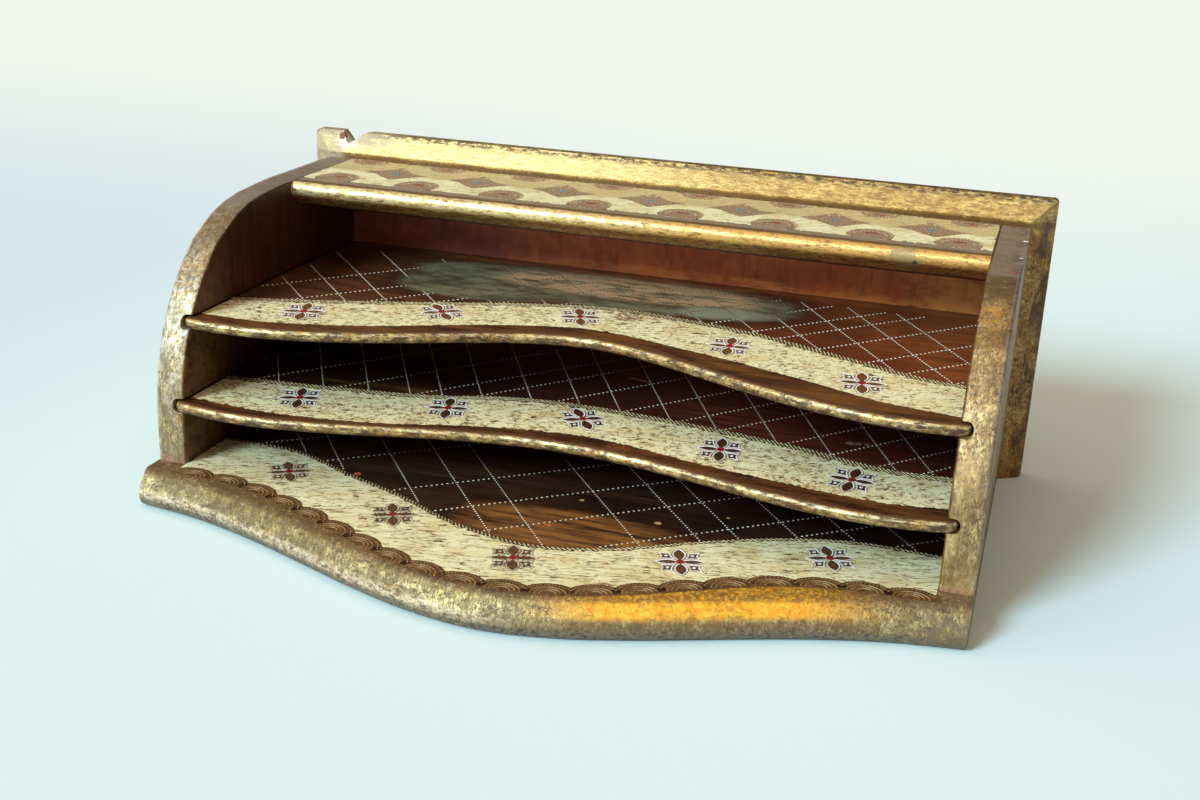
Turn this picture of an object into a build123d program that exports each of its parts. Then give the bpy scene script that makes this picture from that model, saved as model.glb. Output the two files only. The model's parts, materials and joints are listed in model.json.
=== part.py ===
"""Letter holder: a gilded wooden desk rack with two thin shelves in open grooves.

Millimetres. X runs left to right, Y from the front to the back, Z up. The origin is on the
table, under the middle of the rack's footprint.
"""

import os
from math import radians, sin

from build123d import *

# Case: two sides and a top board, standing on the base and closed by the back board
case_width = 300.0
case_depth = 142.5
case_height = 105.0
side_thickness = 11.5
side_straight = 17.5
side_front_sweep_degrees = 71.5
side_arris = 1.5

# Base board, whose serpentine nose stands out in front of the sides
base_thickness = 14.0
base_belly_reach = 59.0
base_belly_half_way_at = 75.0
base_end_reach = 14.0
base_nose_top_radius = 7.0
base_nose_bottom_radius = 4.0

# Back board, with a bevel along its top and its two upright edges
back_thickness = 11.0
back_overhang = 9.0
back_bevel_depth = 6.0
back_step_above_top = 2.4
back_bevel_rise = 8.4
back_corner_radius = 2.0

# Top board, with a round nose that is cut back underneath
top_thickness = 11.0
top_nose_radius = 3.2
top_nose_setback = 86.0
top_underside_setback = 95.0

# Grooves for the shelves, open at the front
groove_width = 5.2
groove_depth = 4.4
groove_round = 2.2
lower_groove_floor = 34.3
upper_groove_floor = 64.1

# Shelves, and their front edges seen from above, measured back from the front of the sides
shelf_thickness = 4.2
shelf_edge_round = 1.8
shelf_corner_radius = 3.5
shelf_end_clearance = 0.8
shelf_back_clearance = 0.5
lower_shelf_hollow = 16.3
lower_shelf_half_way_at = 59.0
lower_shelf_lobe = -4.0
lower_shelf_lobe_at = 113.0
lower_shelf_corner = 0.0
upper_shelf_hollow = 46.0
upper_shelf_half_way_at = 56.0
upper_shelf_lobe = 6.8
upper_shelf_lobe_at = 122.0
upper_shelf_corner = 8.5

# Wire nails that hold the boards together
nail_radius = 0.8
nail_head_radius = 1.7
nail_head_height = 0.9
nail_point_length = 2.5
nail_fit = 0.05
nail_set_depth = 0.5
stopped_nail_depth = 1.5
base_nail_length = 32.0
back_nail_length = 28.0
top_nail_length = 30.0
base_nails_behind_front = (20.0, 65.0, 110.0)
side_nails_above_table = (24.0, 52.0, 84.0)
top_nails_behind_nose = (16.0, 38.0)
top_back_nails_off_centre = 70.0
base_back_nails_off_centre = 80.0

# Places that follow from the sizes
half_width = case_width / 2
inner_half_width = half_width - side_thickness
total_depth = base_belly_reach + case_depth + back_thickness
side_front_y = base_belly_reach - total_depth / 2
back_front_y = side_front_y + case_depth
back_rear_y = back_front_y + back_thickness
side_middle_x = half_width - side_thickness / 2
top_middle_z = case_height - top_thickness / 2
base_middle_z = base_thickness / 2


def wavy_edge(middle, half_way_at, lobe, lobe_at, corner=None):
    """Front edge seen from above: a swing at the middle and a lobe on each side of it.

    corner is the edge's last point, past the lobe, where the lobe isn't the end itself.
    """
    right = [(half_way_at, (middle + lobe) / 2), (lobe_at, lobe)]
    if corner:
        right.append(corner)
    left = [(-x, y) for x, y in reversed(right)]
    points = [(x, side_front_y + y) for x, y in [*left, (0, middle), *right]]
    return Spline(*points)


def nail_profile(length, slack=0.0, opening=0.0):
    """A turned wire nail, its head under the XY plane and its point along -Z."""
    head_low = -nail_head_height - slack
    with BuildPart() as nail:
        with BuildSketch(Plane.XZ):
            with BuildLine():
                Polyline(
                    (0, opening),
                    (nail_head_radius + slack, opening),
                    (nail_head_radius + slack, head_low),
                    (nail_radius + slack, head_low),
                    (nail_radius + slack, nail_point_length - length),
                    (0, -length - slack),
                    close=True,
                )
            make_face()
        revolve(axis=Axis.Z)
    return nail.part


# Nail places, each at the head's outer face, with Z out of the board
up_from_below = [
    Plane((side * side_middle_x, side_front_y + y, nail_set_depth), z_dir=(0, 0, -1))
    for side in (-1, 1)
    for y in base_nails_behind_front
]
back_spots = [(side * side_middle_x, z) for side in (-1, 1) for z in side_nails_above_table]
back_spots += [(side * top_back_nails_off_centre, top_middle_z) for side in (-1, 1)]
back_spots += [(side * base_back_nails_off_centre, base_middle_z) for side in (-1, 0, 1)]
in_from_behind = [
    Plane((x, back_rear_y - nail_set_depth, z), z_dir=(0, 1, 0)) for x, z in back_spots
]
in_from_the_sides = [
    Plane(
        (
            side * (half_width - stopped_nail_depth),
            side_front_y + top_nose_setback + y,
            top_middle_z,
        ),
        z_dir=(side, 0, 0),
    )
    for side in (-1, 1)
    for y in top_nails_behind_nose
]

base_nail = nail_profile(base_nail_length)
back_nail = nail_profile(back_nail_length)
top_nail = nail_profile(top_nail_length)
base_nail_hole = nail_profile(base_nail_length, nail_fit, nail_set_depth)
back_nail_hole = nail_profile(back_nail_length, nail_fit, nail_set_depth)
top_nail_hole = nail_profile(top_nail_length, nail_fit, nail_fit)


def bore_for_nails():
    """Cut every nail's hole out of the board that is being made."""
    with Locations(*up_from_below):
        add(base_nail_hole, mode=Mode.SUBTRACT)
    with Locations(*in_from_behind):
        add(back_nail_hole, mode=Mode.SUBTRACT)
    with Locations(*in_from_the_sides):
        add(top_nail_hole, mode=Mode.SUBTRACT)


os.makedirs("parts", exist_ok=True)

# Base board: flat, with a serpentine front worked to a round nose
with BuildPart() as base_board:
    with BuildSketch():
        with BuildLine():
            nose = wavy_edge(
                -base_belly_reach, base_belly_half_way_at, -base_end_reach, half_width
            )
            Polyline(nose @ 1, (half_width, back_front_y), (-half_width, back_front_y), nose @ 0)
        make_face()
    extrude(amount=base_thickness)
    nose_edges = base_board.edges().filter_by(GeomType.BSPLINE).sort_by(Axis.Z)
    fillet(nose_edges[-1], radius=base_nose_top_radius)
    nose_edges = base_board.edges().filter_by(GeomType.BSPLINE).sort_by(Axis.Z)
    fillet(nose_edges[0], radius=base_nose_bottom_radius)
    bore_for_nails()
base_board.part.label = "base_board"
export_step(base_board.part, "parts/base_board.step")


def side_panel(hand):
    """The left side (hand -1) or the right side (hand 1), standing on the base."""
    straight_top = base_thickness + side_straight
    front_radius = (case_height - straight_top) / sin(radians(side_front_sweep_degrees))
    inner_x = hand * inner_half_width
    outer_x = hand * half_width
    with BuildPart() as panel:
        with BuildSketch(Plane.YZ.offset(min(inner_x, outer_x))):
            with BuildLine():
                foot = Line((side_front_y, base_thickness), (side_front_y, straight_top))
                front = JernArc(foot @ 1, foot % 1, front_radius, -side_front_sweep_degrees)
                Polyline(
                    front @ 1,
                    (back_front_y, case_height),
                    (back_front_y, base_thickness),
                    foot @ 0,
                )
            make_face()
        extrude(amount=side_thickness)
        front_face = panel.faces().sort_by(Axis.Y)[0]
        round_face = panel.faces().filter_by(GeomType.CYLINDER)[0]
        arrises = (front_face.edges() + round_face.edges()).filter_by(Axis.X, reverse=True)
        fillet(arrises, radius=side_arris)
        for floor_z in (lower_groove_floor, upper_groove_floor):
            middle_z = floor_z + groove_width / 2
            with BuildSketch(Plane.XZ.offset(-back_front_y)):
                with Locations((inner_x, middle_z)):
                    RectangleRounded(2 * groove_depth, groove_width, groove_round)
            extrude(amount=case_depth, mode=Mode.SUBTRACT)
        bore_for_nails()
    return panel.part


left_side = side_panel(-1)
left_side.label = "left_side"
export_step(left_side, "parts/left_side.step")

right_side = side_panel(1)
right_side.label = "right_side"
export_step(right_side, "parts/right_side.step")

# Back board: a mitred bevel leads from the case's outline out to the board's own outline
bevel_back_y = back_front_y + back_bevel_depth
step_top_z = case_height + back_step_above_top
rim_half_width = half_width + back_overhang
rim_top_z = step_top_z + back_bevel_rise

with BuildPart() as back_board:
    with BuildSketch(Plane.XZ.offset(-back_front_y)):
        Rectangle(case_width, step_top_z, align=(Align.CENTER, Align.MIN))
    with BuildSketch(Plane.XZ.offset(-bevel_back_y)):
        Rectangle(2 * rim_half_width, rim_top_z, align=(Align.CENTER, Align.MIN))
    loft(ruled=True)
    with BuildSketch(Plane.XZ.offset(-bevel_back_y)):
        Rectangle(2 * rim_half_width, rim_top_z, align=(Align.CENTER, Align.MIN))
    extrude(amount=bevel_back_y - back_rear_y)
    with BuildSketch(Plane.XZ.offset(-back_front_y)):
        with Locations((0, rim_top_z / 2)):
            RectangleRounded(2 * rim_half_width, rim_top_z, back_corner_radius)
    extrude(amount=-back_thickness, mode=Mode.INTERSECT)
    bore_for_nails()
back_board.part.label = "back_board"
export_step(back_board.part, "parts/back_board.step")

# Top board: the same section from side to side, hulled from its round nose and its flat part
nose_middle_y = side_front_y + top_nose_setback + top_nose_radius
underside_front_y = side_front_y + top_underside_setback
flat_depth = back_front_y - underside_front_y

with BuildPart() as top_board:
    with BuildSketch(Plane.YZ.offset(-inner_half_width)):
        with Locations((nose_middle_y, case_height - top_nose_radius)):
            Circle(top_nose_radius)
        with Locations((underside_front_y + flat_depth / 2, top_middle_z)):
            Rectangle(flat_depth, top_thickness)
        make_hull()
    extrude(amount=2 * inner_half_width)
    bore_for_nails()
top_board.part.label = "top_board"
export_step(top_board.part, "parts/top_board.step")


def shelf(floor_z, hollow, half_way_at, lobe, lobe_at, corner):
    """A thin shelf that stands on a groove's floor and reaches into both grooves."""
    shelf_half = inner_half_width + groove_depth - shelf_end_clearance
    rear_y = back_front_y - shelf_back_clearance
    with BuildPart() as board:
        with BuildSketch(Plane.XY.offset(floor_z)):
            with BuildLine():
                front = wavy_edge(hollow, half_way_at, lobe, lobe_at, (shelf_half, corner))
                Polyline(front @ 1, (shelf_half, rear_y), (-shelf_half, rear_y), front @ 0)
            make_face()
        extrude(amount=shelf_thickness)
        front_corners = board.edges().filter_by(Axis.Z).sort_by(Axis.Y)[0:2]
        fillet(front_corners, radius=shelf_corner_radius)
        rear_edges = board.faces().sort_by(Axis.Y)[-1].edges()
        flat_faces = board.faces().filter_by(Axis.Z)
        rim = [e for face in flat_faces for e in face.edges() if e not in rear_edges]
        fillet(rim, radius=shelf_edge_round)
    return board.part


lower_shelf = shelf(
    lower_groove_floor,
    lower_shelf_hollow,
    lower_shelf_half_way_at,
    lower_shelf_lobe,
    lower_shelf_lobe_at,
    lower_shelf_corner,
)
lower_shelf.label = "lower_shelf"
export_step(lower_shelf, "parts/lower_shelf.step")

upper_shelf = shelf(
    upper_groove_floor,
    upper_shelf_hollow,
    upper_shelf_half_way_at,
    upper_shelf_lobe,
    upper_shelf_lobe_at,
    upper_shelf_corner,
)
upper_shelf.label = "upper_shelf"
export_step(upper_shelf, "parts/upper_shelf.step")


def nail_group(places, nail):
    """The nails of one row of boards, as separate solids."""
    with BuildPart() as group:
        with Locations(*places):
            add(nail)
    return group.part


base_nails = nail_group(up_from_below, base_nail)
base_nails.label = "base_nails"
export_step(base_nails, "parts/base_nails.step")

back_nails = nail_group(in_from_behind, back_nail)
back_nails.label = "back_nails"
export_step(back_nails, "parts/back_nails.step")

top_nails = nail_group(in_from_the_sides, top_nail)
top_nails.label = "top_nails"
export_step(top_nails, "parts/top_nails.step")
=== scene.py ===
# %% [markdown]
# # A gilded and painted letter rack
#
# The rack is a wooden desk tray for letters: two sides, a top, a back and a base with a
# serpentine nose, and two thin shelves that slide in open grooves. The wood was covered with
# chalk gesso, then leaf, brown glaze, dark lacquer and cream paint were laid over it by hand.
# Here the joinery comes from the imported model, and this script adds the finish: the coats of
# paint as thin raised films, the ornament as small raised shapes, and a material for each coat.

import json
from math import cos, hypot, pi, radians, sin

import bpy
from mathutils import Euler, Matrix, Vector, noise

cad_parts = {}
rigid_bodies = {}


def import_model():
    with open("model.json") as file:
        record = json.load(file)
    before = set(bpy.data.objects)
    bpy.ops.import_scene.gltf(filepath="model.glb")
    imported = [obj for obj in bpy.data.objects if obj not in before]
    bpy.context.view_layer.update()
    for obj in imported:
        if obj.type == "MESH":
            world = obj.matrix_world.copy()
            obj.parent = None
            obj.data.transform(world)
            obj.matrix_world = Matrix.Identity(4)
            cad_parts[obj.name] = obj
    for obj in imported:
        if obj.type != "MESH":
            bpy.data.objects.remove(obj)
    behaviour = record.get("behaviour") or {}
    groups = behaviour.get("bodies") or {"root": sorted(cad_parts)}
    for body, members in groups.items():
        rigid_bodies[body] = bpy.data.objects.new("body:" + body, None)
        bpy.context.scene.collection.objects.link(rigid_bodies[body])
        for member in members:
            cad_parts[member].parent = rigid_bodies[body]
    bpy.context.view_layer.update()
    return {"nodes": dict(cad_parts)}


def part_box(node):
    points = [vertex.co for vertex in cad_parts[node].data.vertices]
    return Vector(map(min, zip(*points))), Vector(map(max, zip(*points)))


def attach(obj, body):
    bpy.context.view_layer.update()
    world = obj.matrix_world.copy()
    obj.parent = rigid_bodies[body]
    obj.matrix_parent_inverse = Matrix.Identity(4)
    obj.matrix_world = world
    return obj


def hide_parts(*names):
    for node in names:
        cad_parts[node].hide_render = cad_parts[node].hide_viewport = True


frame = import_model()

# %% [markdown]
# Sizes below are written in millimetres, because that is how a joiner would say them, and are
# turned into metres where a vertex is placed. Places on a board are given on its plan: X from
# the middle of the rack, and a depth measured back from the front of the two sides.

# %% Sizes read from the frame
MM = 0.001
side_low, side_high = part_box("left_side")
SIDES_FRONT = side_low.y
INNER_HALF = -side_high.x / MM
OUTER_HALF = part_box("right_side")[1].x / MM
CASE_TOP = side_high.z / MM
BASE_TOP = side_low.z / MM
WALL_DEPTH = (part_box("back_board")[0].y - SIDES_FRONT) / MM
BACK_REAR = (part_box("back_board")[1].y - SIDES_FRONT) / MM
RAIL_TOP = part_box("back_board")[1].z / MM
LOWER_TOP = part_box("lower_shelf")[1].z / MM
UPPER_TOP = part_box("upper_shelf")[1].z / MM
print("inside width", 2 * INNER_HALF, "wall at depth", WALL_DEPTH, "rear face at", BACK_REAR)
print("board tops", BASE_TOP, LOWER_TOP, UPPER_TOP, CASE_TOP, "rail top", RAIL_TOP)


def on_plan(x, depth, height):
    """The point at a place on the plan and a height above the table, all in millimetres."""
    return Vector((x * MM, SIDES_FRONT + depth * MM, height * MM))


# %% [markdown]
# ## Camera
#
# The view is from above and a little to the right, with the lens close enough for the lines
# to converge. Three turns give it: round the vertical, up or down, and a small roll.

# %% The camera at the photograph's viewing angle
CAMERA_AT = (158.1, -455.5, 231.9)
CAMERA_TURN = 0.291
CAMERA_TILT = -0.342
CAMERA_ROLL = 0.042
SENSOR_WIDTH = 36.0
LENS = 45.35

turn = Euler((0, 0, CAMERA_TURN)).to_matrix()
tilt = Euler((pi / 2 + CAMERA_TILT, 0, 0)).to_matrix()
roll = Euler((0, 0, CAMERA_ROLL)).to_matrix()
bpy.ops.object.camera_add(location=on_plan(*CAMERA_AT))
camera = bpy.context.object
camera.name = "camera"
camera.rotation_euler = (turn @ tilt @ roll).to_euler()
camera.data.sensor_width = SENSOR_WIDTH
camera.data.lens = LENS
bpy.context.scene.camera = camera
print("camera at", tuple(camera.location))

# %% [markdown]
# ## Helpers for modelling
#
# An operator works on whatever is selected, so each helper starts by selecting only its own
# object. A finished piece has its place in its mesh and its object at the origin.

# %% Adding, selecting, applying, copying and joining


def pick(*objects):
    """Only these objects are selected, and the first is the active one."""
    bpy.ops.object.select_all(action="DESELECT")
    for item in objects:
        item.select_set(True)
    bpy.context.view_layer.objects.active = objects[0]


def added(operator, **settings):
    """The object that an operator adds."""
    bpy.ops.object.select_all(action="DESELECT")
    operator(**settings)
    return bpy.context.object


def settle(piece, name):
    """The piece's turn, scale and place go into its mesh, and it gets its name."""
    pick(piece)
    bpy.ops.object.transform_apply(location=True, rotation=True, scale=True)
    piece.name = name
    piece.data.name = name
    return piece


def with_modifier(piece, kind, **settings):
    """A modifier is added with its settings and applied at once."""
    pick(piece)
    modifier = piece.modifiers.new(kind.lower(), kind)
    for key, value in settings.items():
        setattr(modifier, key, value)
    bpy.ops.object.modifier_apply(modifier=modifier.name)
    return piece


def row_of(piece, count, pitch):
    """The piece becomes a straight row along X."""
    return with_modifier(
        piece, "ARRAY", count=count, use_relative_offset=False, use_constant_offset=True,
        constant_offset_displace=(pitch * MM, 0, 0),
    )


def copied(piece):
    """A copy with a mesh of its own."""
    pick(piece)
    bpy.ops.object.duplicate()
    return bpy.context.object


def joined(pieces, name):
    """Several pieces become one."""
    pick(*pieces)
    if len(pieces) > 1:
        bpy.ops.object.join()
    return settle(bpy.context.object, name)


# %% Working on a whole mesh in Edit Mode


def edited(piece, operator, **settings):
    """An operator runs in Edit Mode with the whole mesh selected."""
    pick(piece)
    bpy.ops.object.mode_set(mode="EDIT")
    bpy.ops.mesh.select_all(action="SELECT")
    operator(**settings)
    bpy.ops.object.mode_set(mode="OBJECT")
    return piece


def outward(piece):
    """Every face of a closed piece is turned to look outwards."""
    return edited(piece, bpy.ops.mesh.normals_make_consistent, inside=False)


def face_through(points):
    """A flat face with its corners at the points."""
    face = added(bpy.ops.mesh.primitive_circle_add, vertices=len(points), fill_type="NGON")
    for vertex, point in zip(face.data.vertices, points):
        vertex.co = point
    return face


def pushed(face, x, y, z):
    """A flat face is extruded by so many millimetres along each axis."""
    way = {"value": (x * MM, y * MM, z * MM)}
    return edited(face, bpy.ops.mesh.extrude_region_move, TRANSFORM_OT_translate=way)


def cut_at(piece, point, keep_behind=True):
    """The piece is cut square at a point's depth, and the part behind or before it is kept."""
    return edited(
        piece, bpy.ops.mesh.bisect, plane_co=point, plane_no=(0, 1, 0), use_fill=True,
        clear_inner=keep_behind, clear_outer=not keep_behind,
    )


def cut_by(piece, cutter):
    """The cutter's shape is taken out of the piece, and the cutter is removed."""
    with_modifier(piece, "BOOLEAN", operation="DIFFERENCE", solver="EXACT", object=cutter)
    bpy.data.objects.remove(cutter)
    return piece


# %% [markdown]
# ## Helpers for finishes
#
# A finish is built from nodes. This class keeps them short. Sizes are in millimetres, and a
# colour is written as it looks on a screen, from 0 to 255. A coat is a colour, a roughness and
# a metallic share, and a finish lays one coat or wash over another. Where a coat lies is given by
# shares, which are multiplied: a number, a socket, (axis, low, high) for a climb along an axis,
# or (size, low, high, stretch, shift) for ragged patches, which cover more where low is lower.

# %% A finish that is built node by node
EVEN = (1, 1, 1)


def tint(red, green, blue):
    """A colour as it looks on a screen, turned into the linear colour that a shader wants."""
    linear = []
    for part in (red, green, blue):
        share = part / 255
        linear.append(share / 12.92 if share <= 0.04045 else ((share + 0.055) / 1.055) ** 2.4)
    return (*linear, 1.0)


class Finish:
    """A material with its shader, its coat so far and short calls for its nodes."""

    def __init__(self, name):
        self.material = bpy.data.materials.new(name)
        self.material.use_nodes = True
        self.tree = self.material.node_tree
        self.shader = self.tree.nodes["Principled BSDF"]
        self.place = self.node("ShaderNodeTexCoord").outputs["Object"]
        self.parts = self.node("ShaderNodeSeparateXYZ", self.place).outputs
        self.coat = None

    def node(self, kind, *values, **settings):
        """A new node with its settings, and values for its first sockets."""
        made = self.tree.nodes.new(kind)
        for key, value in settings.items():
            setattr(made, key, value)
        for socket, value in zip(made.inputs, values):
            self.feed(socket, value)
        return made

    def feed(self, socket, value):
        """A socket takes a link from another socket, or a plain value."""
        if isinstance(value, bpy.types.NodeSocket):
            self.tree.links.new(value, socket)
        else:
            socket.default_value = value

    def calc(self, operation, first, second=0.0):
        """Arithmetic on numbers."""
        return self.node("ShaderNodeMath", first, second, operation=operation).outputs[0]

    def times(self, *shares):
        """All the shares multiplied."""
        result = self.share(shares[0])
        for share in shares[1:]:
            result = self.calc("MULTIPLY", result, self.share(share))
        return result

    def plus(self, first, second):
        """A sum."""
        return self.calc("ADD", first, second)

    def share(self, given):
        """A share that is written as a climb along an axis or as patches becomes a socket."""
        if not isinstance(given, tuple):
            return given
        if isinstance(given[0], str):
            return self.step(self.axis(given[0]), *given[1:])
        return self.patches(*given)

    def axis(self, name):
        """X, |X|, Z, or Y as the depth behind the sides' front, in millimetres."""
        value = self.calc("MULTIPLY", self.parts[name.strip("|")], 1 / MM)
        if name == "|X|":
            value = self.calc("ABSOLUTE", value)
        if name == "Y":
            value = self.calc("SUBTRACT", value, SIDES_FRONT / MM)
        return value

    def step(self, value, low, high):
        """0 below low and 1 above high, with a smooth climb between. High may be the lower one."""
        settings = {"interpolation_type": "SMOOTHSTEP"}
        return self.node("ShaderNodeMapRange", value, low, high, **settings).outputs["Result"]

    def blotches(self, size, detail=3.0, stretch=EVEN, shift=0.0, rough=0.55, turned=0.0):
        """Noise from 0 to 1 whose blotches are about size millimetres, longer where stretched."""
        mapping = self.node(
            "ShaderNodeMapping", self.place, (shift, shift, shift), (0, 0, turned), stretch,
            vector_type="TEXTURE",
        )
        made = self.node("ShaderNodeTexNoise", mapping.outputs[0])
        made.inputs["Scale"].default_value = 1 / (size * MM)
        made.inputs["Detail"].default_value = detail
        made.inputs["Roughness"].default_value = rough
        return made.outputs["Fac"]

    def patches(self, size, low, high, stretch=EVEN, shift=0.0, detail=8, rough=0.76):
        """1 in ragged patches of about size millimetres."""
        return self.step(self.blotches(size, detail, stretch, shift, rough), low, high)

    def spot(self, x, depth, height, radius, ragged=1.4):
        """1 inside a small ragged spot round a place, 0 outside it."""
        middle = on_plan(x, depth, height)
        away = self.node("ShaderNodeVectorMath", self.place, middle, operation="DISTANCE")
        rim = self.blotches(radius * 0.5, 5, shift=x, rough=0.75)
        rim = self.times(rim, 2 * ragged * radius * MM)
        reach = self.plus(away.outputs["Value"], rim)
        return self.step(reach, (1.1 + ragged) * radius * MM, (0.9 + ragged) * radius * MM)

    def oval(self, x, depth, half_wide, half_deep, soft=0.12):
        """1 inside an oval on the plan, with a soft ragged rim."""
        across = self.times(self.calc("SUBTRACT", self.axis("X"), x), 1 / half_wide)
        back = self.times(self.calc("SUBTRACT", self.axis("Y"), depth), 1 / half_deep)
        square = self.plus(*(self.calc("POWER", self.calc("ABSOLUTE", v), 2.6) for v in (across, back)))
        wander = self.times(self.blotches(9, 6, rough=0.65), 0.5)
        return self.step(self.plus(square, wander), 1.25 + soft, 1.25 - soft)

    def blend(self, kind, first_socket, share, *values):
        """A Mix node for colours or for numbers."""
        made = self.node("ShaderNodeMix", self.share(share), data_type=kind)
        for socket, value in zip(made.inputs[first_socket:], values):
            self.feed(socket, value)
        return made

    def mix(self, share, first, second):
        """The first colour, turning into the second where share is 1."""
        colours = (tint(*c) if isinstance(c, tuple) else c for c in (first, second))
        return self.blend("RGBA", 6, share, *colours).outputs[2]

    def between(self, share, first, second):
        """The first number, turning into the second where share is 1."""
        return self.blend("FLOAT", 2, share, first, second).outputs[0]

    def over(self, under, upper, *shares):
        """The upper coat covers the under one where the shares are 1."""
        share = self.times(*shares)
        return (
            self.mix(share, under[0], upper[0]),
            self.between(share, under[1], upper[1]),
            self.between(share, under[2], upper[2]),
        )

    def washed(self, coat, colour, dullness, *shares):
        """A wash of one colour over a coat. dullness takes away its shine."""
        share = self.times(*shares)
        dull = self.times(share, dullness)
        return (
            self.mix(share, coat[0], colour),
            self.between(dull, coat[1], 0.6),
            self.between(dull, coat[2], 0.0),
        )

    def lay(self, upper, *shares):
        """A coat is laid over this finish."""
        self.coat = self.over(self.coat, upper, *shares)

    def wash(self, what, colour, dullness, *shares):
        """A wash is laid over this finish. what says what it stands for."""
        self.coat = self.washed(self.coat, colour, dullness, *shares)
        self.coat[0].node.label = what

    def chips(self, what, colour, *places):
        """Small chips down to another colour, each at (X, depth, height, radius)."""
        for place in places:
            self.wash(what, colour, 1.0, self.spot(*place))

    def relief(self, height, depth):
        """Bump from a height of 0 to 1 that stands for depth millimetres."""
        made = self.node("ShaderNodeBump")
        made.inputs["Strength"].default_value = 1.0
        made.inputs["Distance"].default_value = depth * MM
        self.feed(made.inputs["Height"], height)
        self.feed(self.shader.inputs["Normal"], made.outputs[0])

    def use(self, colour, roughness, metallic=0.0):
        """The shader takes its colour, roughness and metallic share."""
        self.feed(self.shader.inputs["Base Color"], colour)
        self.feed(self.shader.inputs["Roughness"], roughness)
        self.feed(self.shader.inputs["Metallic"], metallic)
        return self.material

    def close(self, size, depth, stretch=EVEN, rough=0.74):
        """The finish is done: the shader takes its coat, and fine noise gives its relief."""
        self.use(*self.coat)
        self.relief(self.blotches(size, 8, stretch, rough=rough), depth)


# %% [markdown]
# ## Stage
#
# A plain pale floor carries the shadow. The light comes as from a window in front and a little
# to the left, low enough to throw the shadow behind the rack, so one soft sun stands for it.
# The world gives the rest: it is warm, brightest overhead, and dim to the right and behind,
# because leaf only looks like leaf when it has something uneven to mirror.

# %% Floor, sun and world
FLOOR_SIZE = 14.0
FLOOR_COLOUR = (227, 247, 246)
FLOOR_FAR_COLOUR = (250, 254, 247)
FLOOR_SIDE_COLOUR = (219, 234, 240)
SUN_FROM = (-0.42, -0.74, 0.49)
SUN_STRENGTH = 3.6
SUN_ANGLE = radians(20)
SUN_COLOUR = (0.60, 0.84, 1.0)
SKY_FROM = (-0.34, -0.40, 0.85)
WORLD_COLOUR = (1.0, 0.79, 0.61, 1.0)
WORLD_LOW = 0.07
WORLD_HIGH = 0.98
WORLD_EDGE = (0.12, 0.95)

floor = settle(added(bpy.ops.mesh.primitive_plane_add, size=FLOOR_SIZE), "floor")
paper = Finish("pale_floor")
# The floor is painted bluer towards the sides and paler far behind: painted light, for the uneven light
# of the room on it.
to_a_side = paper.share(("|X|", 150, 420))
floor_colour = paper.mix(to_a_side, FLOOR_COLOUR, FLOOR_SIDE_COLOUR)
floor_colour = paper.mix(paper.share(("Y", 200, 1100)), floor_colour, FLOOR_FAR_COLOUR)
floor.data.materials.append(paper.use(floor_colour, 0.9))
paper.shader.inputs["Specular IOR Level"].default_value = 0.1
paper.relief(paper.blotches(7, 3), 0.05)

sun = added(bpy.ops.object.light_add, type="SUN")
sun.name = "window"
sun.rotation_euler = Vector(SUN_FROM).to_track_quat("Z", "Y").to_euler()
sun.data.energy = SUN_STRENGTH
sun.data.angle = SUN_ANGLE
sun.data.color = SUN_COLOUR

world = bpy.data.worlds.new("room")
bpy.context.scene.world = world
world.use_nodes = True
sky = world.node_tree
background = sky.nodes["Background"]
direction = sky.nodes.new("ShaderNodeTexCoord").outputs["Generated"]
towards = sky.nodes.new("ShaderNodeVectorMath")
towards.operation = "DOT_PRODUCT"
towards.inputs[1].default_value = Vector(SKY_FROM).normalized()
sky.links.new(direction, towards.inputs[0])
level = sky.nodes.new("ShaderNodeMapRange")
level.interpolation_type = "SMOOTHSTEP"
for socket, value in zip(level.inputs[1:5], (*WORLD_EDGE, WORLD_LOW, WORLD_HIGH)):
    socket.default_value = value
sky.links.new(towards.outputs["Value"], level.inputs["Value"])
seen = sky.nodes.new("ShaderNodeLightPath")
shown = sky.nodes.new("ShaderNodeMix")
sky.links.new(seen.outputs["Is Camera Ray"], shown.inputs[0])
sky.links.new(level.outputs["Result"], shown.inputs[2])
shown.inputs[3].default_value = 1.0
sky.links.new(shown.outputs[0], background.inputs["Strength"])
background.inputs["Color"].default_value = WORLD_COLOUR

bpy.context.scene.view_settings.view_transform = "Standard"
print("sun", SUN_STRENGTH, "world from", WORLD_LOW, "to", WORLD_HIGH)

# %% [markdown]
# ## Coats
#
# The leaf is imitation gold, rubbed until red bole and gesso show through, then toned with a
# dark wash that stays in the hollows. Its mottling is fine, from half a millimetre to a few, so
# several sizes of noise are laid over each other. The lacquer is brushed along X.

# %% Leaf and lacquer
SIDE_GOLD = ((176, 140, 82), (226, 196, 136), (124, 94, 56))
BASE_GOLD = ((170, 142, 80), (226, 204, 144), (126, 102, 60))
RAIL_GOLD = ((188, 142, 68), (232, 196, 112), (140, 98, 46))
TOP_GOLD = ((190, 136, 64), (236, 194, 114), (116, 78, 38))
SHELF_GOLD = ((188, 146, 80), (234, 206, 136), (122, 86, 44))
UMBER = (70, 48, 28)
SOOT = (32, 23, 17)
GREY_GESSO = (178, 168, 156)
WHITE_GESSO = (238, 234, 222)
RED_BOLE = (160, 88, 62)
LACQUER_DARK = (28, 12, 7)
CREAM = (253, 247, 196)
CREAM_WARM = (240, 222, 164)
FLECK = (100, 56, 22)


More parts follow.
